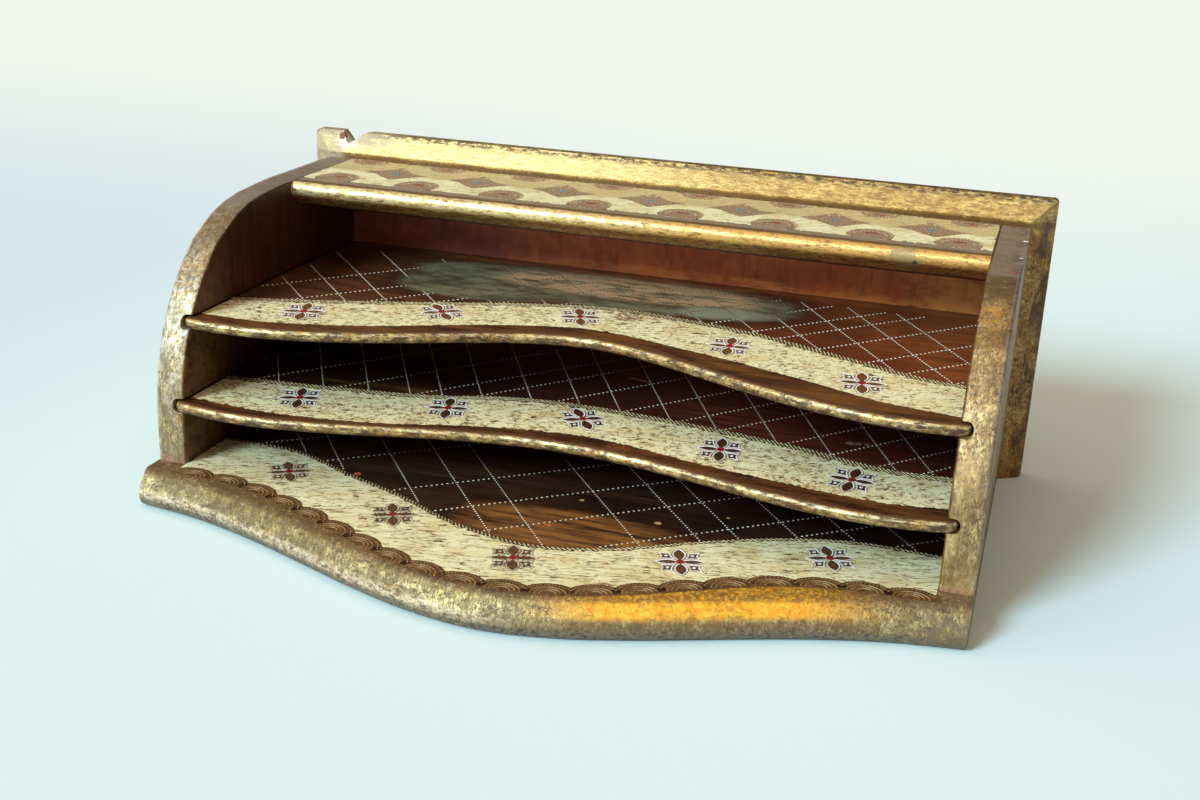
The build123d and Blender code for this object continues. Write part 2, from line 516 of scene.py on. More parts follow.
def gold_coat(finish, tones, shift, worn, grain):
    """Rubbed and toned leaf in three tones. worn is the share that has lost its shine."""

    def layer(size, detail, rough, number, low, high, stretch=grain):
        return finish.patches(size, low, high, stretch, shift + number, detail, rough)

    leaf = finish.mix(layer(5, 8, 0.78, 0, 0.42, 0.57), tones[0], tones[1])
    toned = layer(1.3, 8, 0.8, 1, 0.50 - 0.06 * worn, 0.60 - 0.06 * worn)
    colour = finish.mix(finish.times(toned, 0.75), leaf, tones[2])
    hollow = finish.plus(layer(5, 7, 0.75, 3, 0.40, 0.58), 0.15 + 0.3 * worn)
    dark = finish.times(layer(0.8, 6, 0.75, 2, 0.51, 0.60), hollow)
    grimy = finish.times(layer(4, 8, 0.78, 7, 0.54, 0.66), 0.35 + 0.4 * worn)
    dark = finish.calc("MINIMUM", finish.calc("MAXIMUM", dark, grimy), 1.0)
    colour = finish.mix(dark, colour, UMBER)
    bare = layer(2.0, 8, 0.8, 4, 0.60 - 0.05 * worn, 0.66, EVEN)
    bare = finish.times(bare, 0.15 + 0.6 * worn)
    colour = finish.mix(bare, colour, GREY_GESSO)
    bole = layer(2.2, 6, 0.7, 6, 0.66, 0.72, EVEN)
    colour = finish.mix(finish.times(bole, 0.5), colour, RED_BOLE)
    specks = layer(0.7, 3, 0.55, 5, 0.67, 0.73, EVEN)
    colour = finish.mix(specks, colour, SOOT)
    dull = finish.calc("MAXIMUM", dark, finish.calc("MAXIMUM", bare, specks))
    roughness = finish.between(dull, finish.between(toned, 0.28, 0.42), 0.58)
    return colour, roughness, finish.between(dull, 0.62, 0.08)


def leafed(name, tones, shift, worn, grain):
    """A finish that starts with leaf."""
    finish = Finish(name)
    finish.coat = gold_coat(finish, tones, shift, worn, grain)
    return finish


def lacquer_coat(finish, shift, light, dark):
    """Lacquer brushed along X over stained wood."""
    streak = finish.blotches(2.6, 8, (16, 1, 16), shift, 0.72)
    broad = (40, 0.25, 0.62, (2, 1, 1), shift + 1, 5, 0.55)
    colour = finish.mix(finish.times(finish.step(streak, 0.32, 0.68), broad), dark, light)
    scratch = (0.7, 0.58, 0.72, (12, 1, 12), shift + 2, 5, 0.55)
    colour = finish.mix(finish.times(scratch, 0.35), colour, light)
    return colour, finish.between(streak, 0.34, 0.50), 0.0


def sheltered(finish):
    """1 where |X| is within the rack, with a slightly wandering edge."""
    wander = finish.times(finish.blotches(3, 3), 0.6)
    return finish.step(finish.plus(finish.axis("|X|"), wander), INNER_HALF + 1.2, INNER_HALF + 0.6)


print("paler tones of leaf", SIDE_GOLD[1], BASE_GOLD[1], RAIL_GOLD[1], TOP_GOLD[1])

# %% [markdown]
# ## Lines on the plan
#
# The painter drew long free curves from side to side: the two edges of each cream band, and
# the line where the nose of the base begins. A few points and a smooth line through them are
# enough. Every coat, braid and scallop takes its place from these lines.

# %% A smooth line through a few points, and the lines of the three boards


def line_through(*points):
    """The depth of a smooth line at any X, from a few points on the plan."""

    def lean(i):
        before, after = points[max(i - 1, 0)], points[min(i + 1, len(points) - 1)]
        return (after[1] - before[1]) / (after[0] - before[0])

    def depth_at(x):
        i = 0
        while i < len(points) - 2 and x > points[i + 1][0]:
            i += 1
        (x0, y0), (x1, y1) = points[i], points[i + 1]
        run = x1 - x0
        t = min(max((x - x0) / run, 0.0), 1.0)
        start = (1 + 2 * t) * (1 - t) ** 2 * y0 + t * (1 - t) ** 2 * run * lean(i)
        end = t * t * (3 - 2 * t) * y1 - t * t * (1 - t) * run * lean(i + 1)
        return start + end

    return depth_at


def moved(line, depth):
    """The same line, further back by some depth."""
    return lambda x: line(x) + depth


def level_line(depth):
    """A straight line across the board."""
    return lambda x: depth


UPPER_EDGE = line_through(
    (-142, 8.5), (-122, 6.8), (-96, 12.5), (-56, 26.4), (-24, 44.5), (0, 46.0),
    (24, 44.5), (56, 26.4), (96, 12.5), (122, 6.8), (142, 8.5),
)
UPPER_BAND_FRONT = line_through(
    (-139, 15.7), (-110, 16.6), (-74, 28.2), (-36, 47.4), (0, 57.5),
    (42, 47.3), (81, 33.6), (112, 20.6), (139, 15.9),
)
UPPER_BAND_REAR = line_through(
    (-139, 36.3), (-105, 47.4), (-69, 61.6), (-35, 75.9), (-8, 84.2), (12, 84.8),
    (54, 76.9), (92, 61.2), (122, 48.5), (139, 45.6),
)
LOWER_EDGE = line_through(
    (-142, 0.0), (-113, -4.0), (-88, 1.2), (-59, 6.2), (-30, 14.2), (0, 16.3),
    (30, 14.2), (59, 6.2), (88, 1.2), (113, -4.0), (142, 0.0),
)
LOWER_BAND_FRONT = line_through(
    (-139, 5.9), (-103, 3.3), (-65, 8.5), (-25, 21.3), (12, 25.5),
    (52, 16.7), (88, 10.2), (117, 7.0), (139, 10.0),
)
LOWER_BAND_REAR = line_through(
    (-139, 30.0), (-99, 34.1), (-59, 40.4), (-26, 51.6), (3, 53.6),
    (43, 50.1), (82, 43.1), (113, 34.4), (139, 34.6),
)
BASE_BAND_REAR = line_through(
    (-139, 28.4), (-106, 26.6), (-78, 13.5), (-53, 3.0), (-27, -10.9), (4, -18.8),
    (31, -11.2), (58, 5.6), (83, 18.6), (109, 26.1), (139, 25.4),
)
SCALLOP_FOOT = line_through(
    (-139, -8.6), (-110, -11.5), (-84, -22.0), (-58, -34.6), (-34, -46.0), (-14, -51.8),
    (8, -52.4), (29, -47.5), (49, -38.5), (68, -27.4), (88, -17.0), (109, -11.2), (139, -8.6),
)

# %% [markdown]
# ## Coats of paint as films
#
# A coat is a grid whose rows run along the painter's curves, given a thickness with Solidify.
# Its underside is sunk a little into the board, so that no two faces lie in one plane, and its
# edges wander by a fraction of a millimetre, as a brushed edge does.

# %% A film between two lines
SINK = 0.2
FIELD_HALF = INNER_HALF - 0.15
FILM_STEP = 1.2


def film(name, front, rear, board_top, thickness, ragged=0.0, rows=8):
    """A film of paint from one line to another, closed all round."""
    columns = int(2 * FIELD_HALF / FILM_STEP)
    grid = bpy.ops.mesh.primitive_grid_add
    coat = added(grid, x_subdivisions=columns, y_subdivisions=rows, size=1)
    for vertex in coat.data.vertices:
        across = vertex.co.y + 0.5
        x = -FIELD_HALF + 2 * FIELD_HALF * (vertex.co.x + 0.5)
        edge = ragged * noise.noise(Vector((x * 0.9, board_top + 40 * round(across), 0)))
        edge *= abs(2 * across - 1) ** 3
        depth = front(x) * (1 - across) + rear(x) * across + edge
        vertex.co = on_plan(x, depth, board_top - SINK)
    with_modifier(coat, "SOLIDIFY", thickness=(SINK + thickness) * MM, offset=1.0)
    return settle(coat, name)


# %% [markdown]
# The dark field goes down first, then the bronze strip along the front edge, and the cream
# band over the joint between them.

# %% Lacquer fields, bronze strips and cream bands
LACQUER_THICK = 0.06
BRONZE_THICK = 0.08
CREAM_THICK = 0.18
EDGE_ROLL = 2.2
OVERLAP = 3.0
WALL_GAP = 0.7

for board, board_top, band_rear in (
    ("upper", UPPER_TOP, UPPER_BAND_REAR),
    ("lower", LOWER_TOP, LOWER_BAND_REAR),
    ("base", BASE_TOP, BASE_BAND_REAR),
):
    film(
        board + "_lacquer_field", moved(band_rear, -OVERLAP), level_line(WALL_DEPTH - WALL_GAP),
        board_top, LACQUER_THICK,
    )
for board, board_top, edge, band_front in (
    ("upper", UPPER_TOP, UPPER_EDGE, UPPER_BAND_FRONT),
    ("lower", LOWER_TOP, LOWER_EDGE, LOWER_BAND_FRONT),
):
    film(
        board + "_bronze_strip", moved(edge, EDGE_ROLL), moved(band_front, OVERLAP),
        board_top, BRONZE_THICK, 0.8, rows=4,
    )
film("upper_cream_band", UPPER_BAND_FRONT, UPPER_BAND_REAR, UPPER_TOP, CREAM_THICK, 0.9)
film("lower_cream_band", LOWER_BAND_FRONT, LOWER_BAND_REAR, LOWER_TOP, CREAM_THICK, 0.9)
film("base_cream_band", moved(SCALLOP_FOOT, 1.0), BASE_BAND_REAR, BASE_TOP, CREAM_THICK, 0.9)

# %% [markdown]
# ## The boards, dressed
#
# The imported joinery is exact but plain. Five of its boards get a dressed version here, because
# hand work has softened them: the sides, whose fronts sweep into the top in one curve, the base
# with its worn serpentine nose, the back board with its chipped corner, and the top with the
# line scratched behind its nose. The two shelves and the nails stay as they are.

# %% A copy of a board whose flat faces are whole again, soft shading and round edges


def dressed_copy(node_name, name):
    """A merged copy of a packed board."""
    board = copied(frame["nodes"][node_name])
    bpy.ops.object.parent_clear(type="CLEAR_KEEP_TRANSFORM")
    bpy.ops.mesh.customdata_custom_splitnormals_clear()

    def merge():
        bpy.ops.mesh.remove_doubles(threshold=0.00001)
        bpy.ops.mesh.dissolve_limited(angle_limit=radians(0.5))

    edited(board, merge).data.materials.clear()
    return settle(board, name)


def soft_shading(piece):
    """Smooth shading that stops at sharp edges."""
    pick(piece)
    bpy.ops.object.shade_smooth_by_angle(angle=radians(35))
    return piece


def rounded_where(piece, fits, offset, segments):
    """The edges that fit are bevelled. fits is given the two ends of each edge."""
    pick(piece)
    bpy.ops.object.mode_set(mode="EDIT")
    bpy.ops.mesh.select_mode(type="EDGE")
    bpy.ops.mesh.select_all(action="DESELECT")
    bpy.ops.object.mode_set(mode="OBJECT")
    for edge in piece.data.edges:
        edge.select = fits(*(piece.data.vertices[i].co for i in edge.vertices))
    bpy.ops.object.mode_set(mode="EDIT")
    bpy.ops.mesh.bevel(offset=offset * MM, segments=segments)
    bpy.ops.mesh.select_mode(type="VERT")
    bpy.ops.object.mode_set(mode="OBJECT")
    return piece


# %% [markdown]
# A side is a flat outline, pushed sideways to its thickness. The outline starts upright, follows
# an arc, and eases into the level top; only its front arrises are rounded. Two grooves with
# rounded corners are then taken out of the inner face for the shelves.

# %% The two sides
ARC_FOOT = 31.5
ARC_RADIUS = 77.5
ARC_END = 52
ARC_STEP = 4
SHOULDER = ((36.0, 96.0), (44.0, 99.9), (53.0, 102.6), (63.0, 104.1), (76.0, 104.8), (90.0, 105.0))
SIDE_ARRIS = 1.3
ARRIS_END = 80
GROOVE_DEPTH = 4.4
GROOVE_HEIGHT = 5.2
GROOVE_ROUND = 2.1
GROOVE_FLOORS = (34.3, 64.1)
GROOVE_EXCESS = 20


def side_outline():
    """Depth and height of each corner of a side, going up its front and back down its rear."""
    turns = [radians(degree) for degree in range(0, ARC_END + 1, ARC_STEP)]
    arc = [(ARC_RADIUS * (1 - cos(a)), ARC_FOOT + ARC_RADIUS * sin(a)) for a in turns]
    return [(0.0, BASE_TOP), *arc, *SHOULDER, (WALL_DEPTH, CASE_TOP), (WALL_DEPTH, BASE_TOP)]


def dressed_side(hand, name):
    """The left side, hand -1, or the right side, hand 1."""
    inner = hand * INNER_HALF
    side = face_through([on_plan(inner, depth, height) for depth, height in side_outline()])
    outward(pushed(side, hand * (OUTER_HALF - INNER_HALF), 0, 0))
    arris_end = SIDES_FRONT + ARRIS_END * MM
    rounded_where(
        side, lambda a, b: abs(a.x - b.x) < MM and max(a.y, b.y) < arris_end, SIDE_ARRIS, 4,
    )
    for floor_height in GROOVE_FLOORS:
        middle = on_plan(inner, WALL_DEPTH / 2, floor_height + GROOVE_HEIGHT / 2)
        groove = added(bpy.ops.mesh.primitive_cube_add, size=1, location=middle)
        size = (2 * GROOVE_DEPTH, WALL_DEPTH + GROOVE_EXCESS, GROOVE_HEIGHT)
        groove.scale = [length * MM for length in size]
        settle(groove, "groove")
        with_modifier(groove, "BEVEL", width=GROOVE_ROUND * MM, segments=4, angle_limit=radians(60))
        cut_by(side, groove)
    return settle(soft_shading(side), name)


left_panel = dressed_side(-1, "left_panel")
right_panel = dressed_side(1, "right_panel")
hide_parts("left_side")
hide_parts("right_side")
print("faces of a side", len(left_panel.data.polygons))

# %% [markdown]
# The nose of the base runs in one long S to each side. Its section starts level, falls in a
# worn slope and rounds under, so a closed strip is pushed along X in many short steps, and each
# step takes the section at its own place on the S. Behind the sides' front the board is the
# packed one, with its nail recesses.

# %% The base and its serpentine nose
NOSE = line_through(
    (-150, -14.0), (-125, -18.5), (-100, -26.4), (-75, -36.5), (-50, -47.0), (-25, -55.4),
    (0, -59.0), (25, -55.4), (50, -47.0), (75, -36.5), (100, -26.4), (125, -18.5), (150, -14.0),
)
NOSE_SECTION = (
    (6.4, 14.0), (5.2, 13.4), (4.0, 12.3), (2.8, 10.9), (1.7, 9.3), (0.8, 7.7), (0.2, 6.3),
    (0.0, 5.2), (0.3, 3.6), (1.1, 2.0), (2.3, 0.8), (3.7, 0.15), (5.0, 0.0),
)
NOSE_STEPS = 120
JOINT_DEPTH = 2.0


def nose_at(x):
    """The section's corners where the nose crosses X."""
    slope = (NOSE(x + 1) - NOSE(x - 1)) / 2
    stretch = hypot(1, slope)
    points = [(NOSE(x) + back * stretch, height) for back, height in NOSE_SECTION]
    points = [(JOINT_DEPTH, BASE_TOP), *points, (JOINT_DEPTH, 0.0)]
    return [on_plan(x, depth, height) for depth, height in points]


def nose_strip():
    """The nose, from the left end to the right."""
    base_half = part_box("base_board")[1].x / MM
    section = nose_at(-base_half)
    one_step = {"value": (2 * base_half / NOSE_STEPS * MM, 0, 0)}

    def push_on():
        for _ in range(NOSE_STEPS):
            bpy.ops.mesh.extrude_region_move(TRANSFORM_OT_translate=one_step)

    strip = edited(face_through(section), push_on)
    for i, vertex in enumerate(strip.data.vertices):
        vertex.co = nose_at(vertex.co.x / MM)[i % len(section)]
    return outward(strip)


nose = nose_strip()
base_rear = cut_at(dressed_copy("base_board", "base_rear"), on_plan(0, JOINT_DEPTH, 0))
dressed_base = soft_shading(joined([nose, base_rear], "dressed_base"))
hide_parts("base_board")
print("faces of the base", len(dressed_base.data.polygons))

# %% [markdown]
# The back board keeps its mitred bevel. At its left corner a splinter has broken away, right
# through the rail: a wedge with one steep and one long side is taken out with a Boolean.

# %% The back board and its broken corner
CHIP_LEFT = -146.0
CHIP_FOOT = (-141.4, 110.9)
CHIP_RIGHT = -133.2
WEDGE = (
    (CHIP_LEFT - 0.6, RAIL_TOP + 1), (CHIP_FOOT[0] - 1.6, CHIP_FOOT[1] + 0.9), CHIP_FOOT,
    (CHIP_RIGHT - 3.2, RAIL_TOP - 1.1), (CHIP_RIGHT + 1.5, RAIL_TOP + 1),
)
WEDGE_LENGTH = 20
SPLINTERED = 0.7
RAIL_ARRIS = 0.6

dressed_back = dressed_copy("back_board", "dressed_back")
wedge = face_through([on_plan(x, WALL_DEPTH - 2, height) for x, height in WEDGE])
edited(pushed(wedge, 0, WEDGE_LENGTH, 0), bpy.ops.mesh.subdivide, number_cuts=5)
for vertex in outward(wedge).data.vertices:
    vertex.co.z += SPLINTERED * MM * noise.noise(vertex.co / (3 * MM))
    vertex.co.x += SPLINTERED * MM * noise.noise(vertex.co / (2.5 * MM) + Vector((5, 5, 5)))
cut_by(dressed_back, wedge)
rounded_where(
    dressed_back,
    lambda a, b: abs(a.x - b.x) > 60 * MM and min(a.z, b.z) > (RAIL_TOP - 0.5) * MM,
    RAIL_ARRIS, 2,
)
soft_shading(dressed_back)
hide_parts("back_board")

# %% [markdown]
# The top board keeps its round nose. A scratched line runs behind the nose from side to side: a
# thin rod is laid along it and taken out.

# %% The top board and its scratched line
SCRATCH_DEPTH = 90.3
ROD_RADIUS = 1.1
ROD_RAISED = 0.6

dressed_top = dressed_copy("top_board", "dressed_top")
rod = added(
    bpy.ops.mesh.primitive_cylinder_add, vertices=12, radius=ROD_RADIUS * MM, depth=0.3,
    rotation=(0, pi / 2, 0), location=on_plan(0, SCRATCH_DEPTH, CASE_TOP + ROD_RAISED),
)
soft_shading(cut_by(dressed_top, settle(rod, "rod")))
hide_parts("top_board")
print("faces of the back and top", len(dressed_back.data.polygons), len(dressed_top.data.polygons))

# %% [markdown]
# ## Braid
#
# A twisted cord closes each cream band at the back: slanted cream strokes with dark gaps. One
# stroke is modelled, an Array repeats it in a straight row, and a Curve modifier bends the row
# along the band's rear line.

# %% A row of small pieces along a line
GUIDE_STEP = 3.0


def guide_along(line):
    """A curve object along a line on the plan, and its length in millimetres."""
    count = int(2 * FIELD_HALF / GUIDE_STEP)
    along = [-FIELD_HALF + 2 * FIELD_HALF * i / count for i in range(count + 1)]
    places = [on_plan(x, line(x), 0) for x in along]
    data = bpy.data.curves.new("guide", "CURVE")
    data.dimensions = "2D"
    spline = data.splines.new("POLY")
    spline.points.add(count)
    for point, place in zip(spline.points, places):
        point.co = (*place, 1)
    guide = bpy.data.objects.new("guide", data)
    bpy.context.scene.collection.objects.link(guide)
    return guide, sum((b - a).length for a, b in zip(places, places[1:])) / MM


def row_along(unit, line, pitch, name):
    """Copies of the unit, one each pitch, bent along a line on the plan."""
    guide, length = guide_along(line)
    count = int(length / pitch)
    row_of(unit, count, length / count)
    with_modifier(unit, "CURVE", object=guide, deform_axis="POS_X")
    bpy.data.objects.remove(guide)
    return settle(unit, name)


# %% One stroke of the braid, and the braids of the three boards
STROKE_PITCH = 1.7
STROKE_SIZE = (2.4, 0.52, 0.32)
STROKE_LEAN = radians(-44)
STROKE_ROUND = 0.18
BRAID_WIDTH = 1.8
BRAID_THICK = CREAM_THICK + 0.03


def stroke(board_top, offset):
    """A slanted lozenge, rounded on top, that starts the row."""
    middle = Vector((STROKE_PITCH / 2, offset, board_top)) * MM
    cube = bpy.ops.mesh.primitive_cube_add
    lozenge = added(cube, size=1, location=middle, rotation=(0, 0, STROKE_LEAN))
    lozenge.scale = [length * MM for length in STROKE_SIZE]
    settle(lozenge, "stroke")
    return with_modifier(
        lozenge, "BEVEL", width=STROKE_ROUND * MM, segments=1, limit_method="NONE",
    )


for name, line, board_top, rows in (
    ("upper_braid", UPPER_BAND_REAR, UPPER_TOP, 2),
    ("lower_braid", LOWER_BAND_REAR, LOWER_TOP, 2),
    ("base_braid", BASE_BAND_REAR, BASE_TOP, 1),
):
    film(
        name + "_ground", moved(line, -1.0), moved(line, BRAID_WIDTH * rows - 0.6),
        board_top, BRAID_THICK, 1.6, rows=2,
    )
    strokes = []
    for row in range(rows):
        unit = stroke(board_top + BRAID_THICK, 0.2 + row * BRAID_WIDTH)
        strokes.append(row_along(unit, line, STROKE_PITCH, "row"))
    braid = joined(strokes, name + "_strokes")
    print(braid.name, "faces", len(braid.data.polygons))

# %% [markdown]
# ## Scallops
#
# A border of half rings stands in relief along the nose of the base: three arcs one inside the
# other, and a row of small beads round them. The rings are tori cut in half by Bisect. Like the
# braid, the whole border is one scallop, repeated and bent.

# %% One scallop, and the border
SCALLOP_PITCH = 14.7
SCALLOP_TOP = BASE_TOP + CREAM_THICK
ARC_RADII = (2.6, 4.2, 5.8)
ARC_THICK = 0.34
BEAD_ROW = 7.9
BEAD_RADIUS = 0.36
BEADS = 15
BEADS_FROM = radians(24)
DISC_RADIUS = 9.4
DISC_THICK = 0.4
DISC_WANDER = 0.35
SCALLOP_FLAT = 0.76
FOOT_SHADE = (-0.6, 1.8)


def flattened(piece):
    """The scallop is wider than it is deep."""
    piece.scale.y = SCALLOP_FLAT
    return settle(piece, piece.name)


def scallop_arcs():
    """Half rings and beads, at the start of the row."""
    middle = Vector((SCALLOP_PITCH / 2, 0, SCALLOP_TOP)) * MM
    parts = []
    for radius in ARC_RADII:
        ring = added(
            bpy.ops.mesh.primitive_torus_add, location=middle, major_radius=radius * MM,
            minor_radius=ARC_THICK * MM, major_segments=28, minor_segments=6,
        )
        parts.append(cut_at(settle(ring, "ring"), (0, 0, 0)))
    for i in range(BEADS):
        angle = BEADS_FROM + (pi - 2 * BEADS_FROM) * i / (BEADS - 1)
        bead = added(
            bpy.ops.mesh.primitive_uv_sphere_add, segments=6, ring_count=4,
            radius=BEAD_RADIUS * MM,
            location=middle + Vector((cos(angle), sin(angle), 0)) * BEAD_ROW * MM,
        )
        parts.append(settle(bead, "bead"))
    return flattened(joined(parts, "scallop"))


def scallop_ground():
    """The dark half disc under one scallop."""
    disc = added(
        bpy.ops.mesh.primitive_cylinder_add, vertices=40, radius=DISC_RADIUS * MM,
        depth=DISC_THICK * MM, location=Vector((SCALLOP_PITCH / 2, 0, SCALLOP_TOP - 0.1)) * MM,
    )
    disc = cut_at(settle(disc, "disc"), (0, 0, 0))
    for vertex in disc.data.vertices:
        if vertex.co.y > 0.5 * MM:
            vertex.co.y += DISC_WANDER * MM * noise.noise(vertex.co * 900)
    return flattened(disc)


scallops = row_along(scallop_arcs(), SCALLOP_FOOT, SCALLOP_PITCH, "base_scallops")
row_along(scallop_ground(), SCALLOP_FOOT, SCALLOP_PITCH, "base_scallop_ground")
# A dark film along the foot of the scallops is painted shade where they meet the nose.
film(
    "base_scallop_shade", *(moved(SCALLOP_FOOT, depth) for depth in FOOT_SHADE),
    BASE_TOP, CREAM_THICK + 0.04, 0.8, rows=2,
)
print("faces of the scallops", len(scallops.data.polygons))

# %% [markdown]
# ## Paints of one colour
#
# Most of the ornament is plain paint, worn unevenly towards a second colour. Only the petal
# outlines on the base change from side to side: the left ones are nearly worn away.

# %% Plain paints
WHITE_LINE = (255, 254, 251)


def plain_paint(name, colour, second, size):
    """One colour of paint, worn in patches of a size towards a second colour."""
    finish = Finish(name)
    finish.use(finish.mix((size, 0.36, 0.68, EVEN, 0, 5, 0.7), colour, second), 0.5)
    finish.relief(finish.blotches(0.9, 3), 0.05)
    return finish


paints = {
    name: plain_paint(name, colour, second, size)
    for name, colour, second, size in (
        ("shelf_flower_line", WHITE_LINE, (244, 236, 214), 1.2),
        ("upper_petal_brown", (92, 52, 20), (136, 92, 46), 0.9),
        ("lower_petal_brown", (52, 28, 14), (96, 56, 30), 0.9),
        ("base_petal_brown", (76, 48, 28), (122, 86, 50), 0.9),
        ("heart_red", (142, 8, 20), (158, 42, 48), 0.9),
        ("petal_shade", (168, 142, 92), (112, 80, 44), 0.8),
        ("lattice_cream", (255, 250, 230), (214, 196, 160), 12),
        ("braid_ground", (50, 31, 17), (104, 72, 40), 1.0),
        ("braid_strokes", (218, 206, 156), (120, 90, 52), 1.6),
        ("motif_brown", (108, 76, 56), (204, 178, 138), 0.9),
        ("lash_light", (238, 218, 170), (150, 106, 56), 1.6),
        ("dot_blue", (92, 132, 166), (120, 142, 150), 1.6),
        ("dot_red", (154, 52, 62), (150, 100, 84), 0.8),
        ("scallop_ridge", (166, 134, 80), (108, 76, 42), 2.4),
        ("scallop_ground", (84, 56, 28), (128, 90, 48), 2.6),
    )
}

petal_line = Finish("base_flower_line")
wandering_x = petal_line.plus(petal_line.axis("X"), petal_line.times(petal_line.blotches(3, 3), 30))
worn_brown = petal_line.mix((0.9, 0.42, 0.50, EVEN, 0, 4, 0.7), (78, 50, 28), (232, 220, 186))
worn_white = petal_line.mix((1.4, 0.54, 0.66, EVEN, 0, 4, 0.55), WHITE_LINE, CREAM_WARM)
petal_line.use(petal_line.mix(petal_line.step(wandering_x, 20, 56), worn_brown, worn_white), 0.5)
petal_line.relief(petal_line.blotches(0.9, 3), 0.05)
paints["base_flower_line"] = petal_line
print("paints", len(paints))

# %% [markdown]
# ## Flowers
#
# Five flowers stand on each cream band: two oval petals, two thin ones like needles, four like
# fangs between them, each with a light dot, and a red heart. A petal is a flat outline pushed
# up a quarter of a millimetre; Inset leaves a raised white line round its brown inside. The
# paints of a flower lie in four slots: its lines, the insides of its petals, its heart and the
# shade round it.

# %% Petals and flowers
PETAL_THICK = 0.26
PETAL_LINE = 0.42
PETAL_SHADE = 0.35
LINE_SLOT, INSIDE_SLOT, HEART_SLOT, SHADE_SLOT = range(4)
OVAL_PETAL = (
    (0, 0.9), (1.0, 1.9), (1.9, 3.6), (2.3, 5.5), (2.0, 7.5), (1.1, 9.2), (0, 10.6),
    (-1.1, 9.2), (-2.0, 7.5), (-2.3, 5.5), (-1.9, 3.6), (-1.0, 1.9),
)
NEEDLE_PETAL = (
    (0.6, 0.7), (2.6, 1.6), (4.4, 1.85), (6.4, 1.3), (8.6, 0),
    (6.4, -1.3), (4.4, -1.85), (2.6, -1.6), (0.6, -0.7),
)
FANG_PETAL = (
    (1.8, 2.2), (3.3, 2.45), (4.9, 2.6), (6.8, 2.5), (6.1, 4.5),
    (7.0, 7.6), (5.0, 6.8), (3.1, 7.1), (2.8, 4.6),
)
DOT_AT = (4.4, 4.7)
DOT_RADIUS = 0.62
HEART = (1.3, 1.7)


def ellipse(half_wide, half_deep, count, middle=(0.0, 0.0)):
    """The points of a small ellipse."""
    turns = [2 * pi * i / count for i in range(count)]
    return [(middle[0] + half_wide * cos(a), middle[1] + half_deep * sin(a)) for a in turns]


def grown(outline, by):
    """The outline, moved outwards all round."""
    points = []
    for i, (x, y) in enumerate(outline):
        before, after = outline[i - 1], outline[(i + 1) % len(outline)]
        along = Vector((after[0] - before[0], after[1] - before[1])).normalized()
        points.append((x + along.y * by, y - along.x * by))
    return points


def facing_up(outline):
    """The outline's points in the order that turns its face upwards."""
    ends = outline[1:] + outline[:1]
    twice_area = sum(x0 * y1 - x1 * y0 for (x0, y0), (x1, y1) in zip(outline, ends))
    return outline if twice_area > 0 else outline[::-1]


def plate(outline, thickness, slot=LINE_SLOT, inset=0.0):
    """A thin plate with an outline on the plan. Within an inset it has the inside's slot."""
    shape = face_through([(x * MM, y * MM, 0) for x, y in facing_up(outline)])

    def raised():
        rise = {"value": (0, 0, thickness * MM)}
        bpy.ops.mesh.extrude_region_move(TRANSFORM_OT_translate=rise)
        if inset:
            bpy.ops.mesh.inset(thickness=inset * MM, depth=-0.3 * thickness * MM)

    edited(shape, raised)
    for face in shape.data.polygons:
        face.material_index = INSIDE_SLOT if inset and face.select else slot
    return outward(shape)


def petal(outline, right, back):
    """A petal, mirrored or not, with a raised line, on a slightly larger shade of the brown."""
    outline = facing_up([(x * right, y * back) for x, y in outline])
    shade = plate(grown(outline, PETAL_SHADE), PETAL_THICK * 0.5, SHADE_SLOT)
    return [shade, plate(outline, PETAL_THICK, inset=PETAL_LINE)]


def flower(names):
    """One flower in its four paints."""
    parts = []
    for side in (1, -1):
        parts += petal(OVAL_PETAL, 1, side) + petal(NEEDLE_PETAL, side, 1)
        for back in (1, -1):
            dot_at = (side * DOT_AT[0], back * DOT_AT[1])
            dot = plate(ellipse(DOT_RADIUS, DOT_RADIUS, 6, dot_at), PETAL_THICK * 1.15)
            parts += petal(FANG_PETAL, side, back) + [dot]
    parts.append(plate(ellipse(*HEART, 12), PETAL_THICK * 1.3, HEART_SLOT))
    for part in parts:
        for name in names:
            part.data.materials.append(paints[name].material)
    return joined(parts, "flower")


def set_out(unit, name, height, places, length=1.0):
    """Copies of a unit at (X, depth, turn in degrees), joined into one piece."""
    copies = []
    for x, depth, turned in places:
        one = copied(unit)
        one.location = on_plan(x, depth, height)
        one.rotation_euler = (0, 0, radians(turned))
        one.scale.y = length
        copies.append(one)
    bpy.data.objects.remove(unit)
    print(name, "copies", len(copies))
    return joined(copies, name)


for board, board_top, line_name, length, places in (
    ("upper", UPPER_TOP, "shelf_flower_line", 1.14, (
        (-105.9, 33.6, 16), (-58.9, 55.0, 38), (-8.8, 70.9, 20), (52.2, 58.5, 5), (103.3, 36.8, 8),
    )),
    ("lower", LOWER_TOP, "shelf_flower_line", 1.14, (
        (-101.8, 21.1, 20), (-47.0, 33.0, 15), (2.8, 42.0, 32), (57.1, 32.0, 8), (104.8, 22.2, -4),
    )),
    ("base", BASE_TOP, "base_flower_line", 0.96, (
        (-99.8, 8.1, 32), (-48.3, -12.7, 26), (2.8, -29.5, 19), (55.2, -11.6, 18), (101.6, 10.4, 21),
    )),
):
    unit = flower((line_name, board + "_petal_brown", "heart_red", "petal_shade"))
    set_out(unit, board + "_flowers", board_top + CREAM_THICK - 0.1, places, length)

# %% [markdown]
# ## Lattice
#
# Behind the bands, the lacquer is crossed by two families of pale lines that were pricked in by
# hand: one dotted, one nearly solid. Each line is a row of flat beads made by an Array, turned
# to its slant and set down where its foot meets the braid.

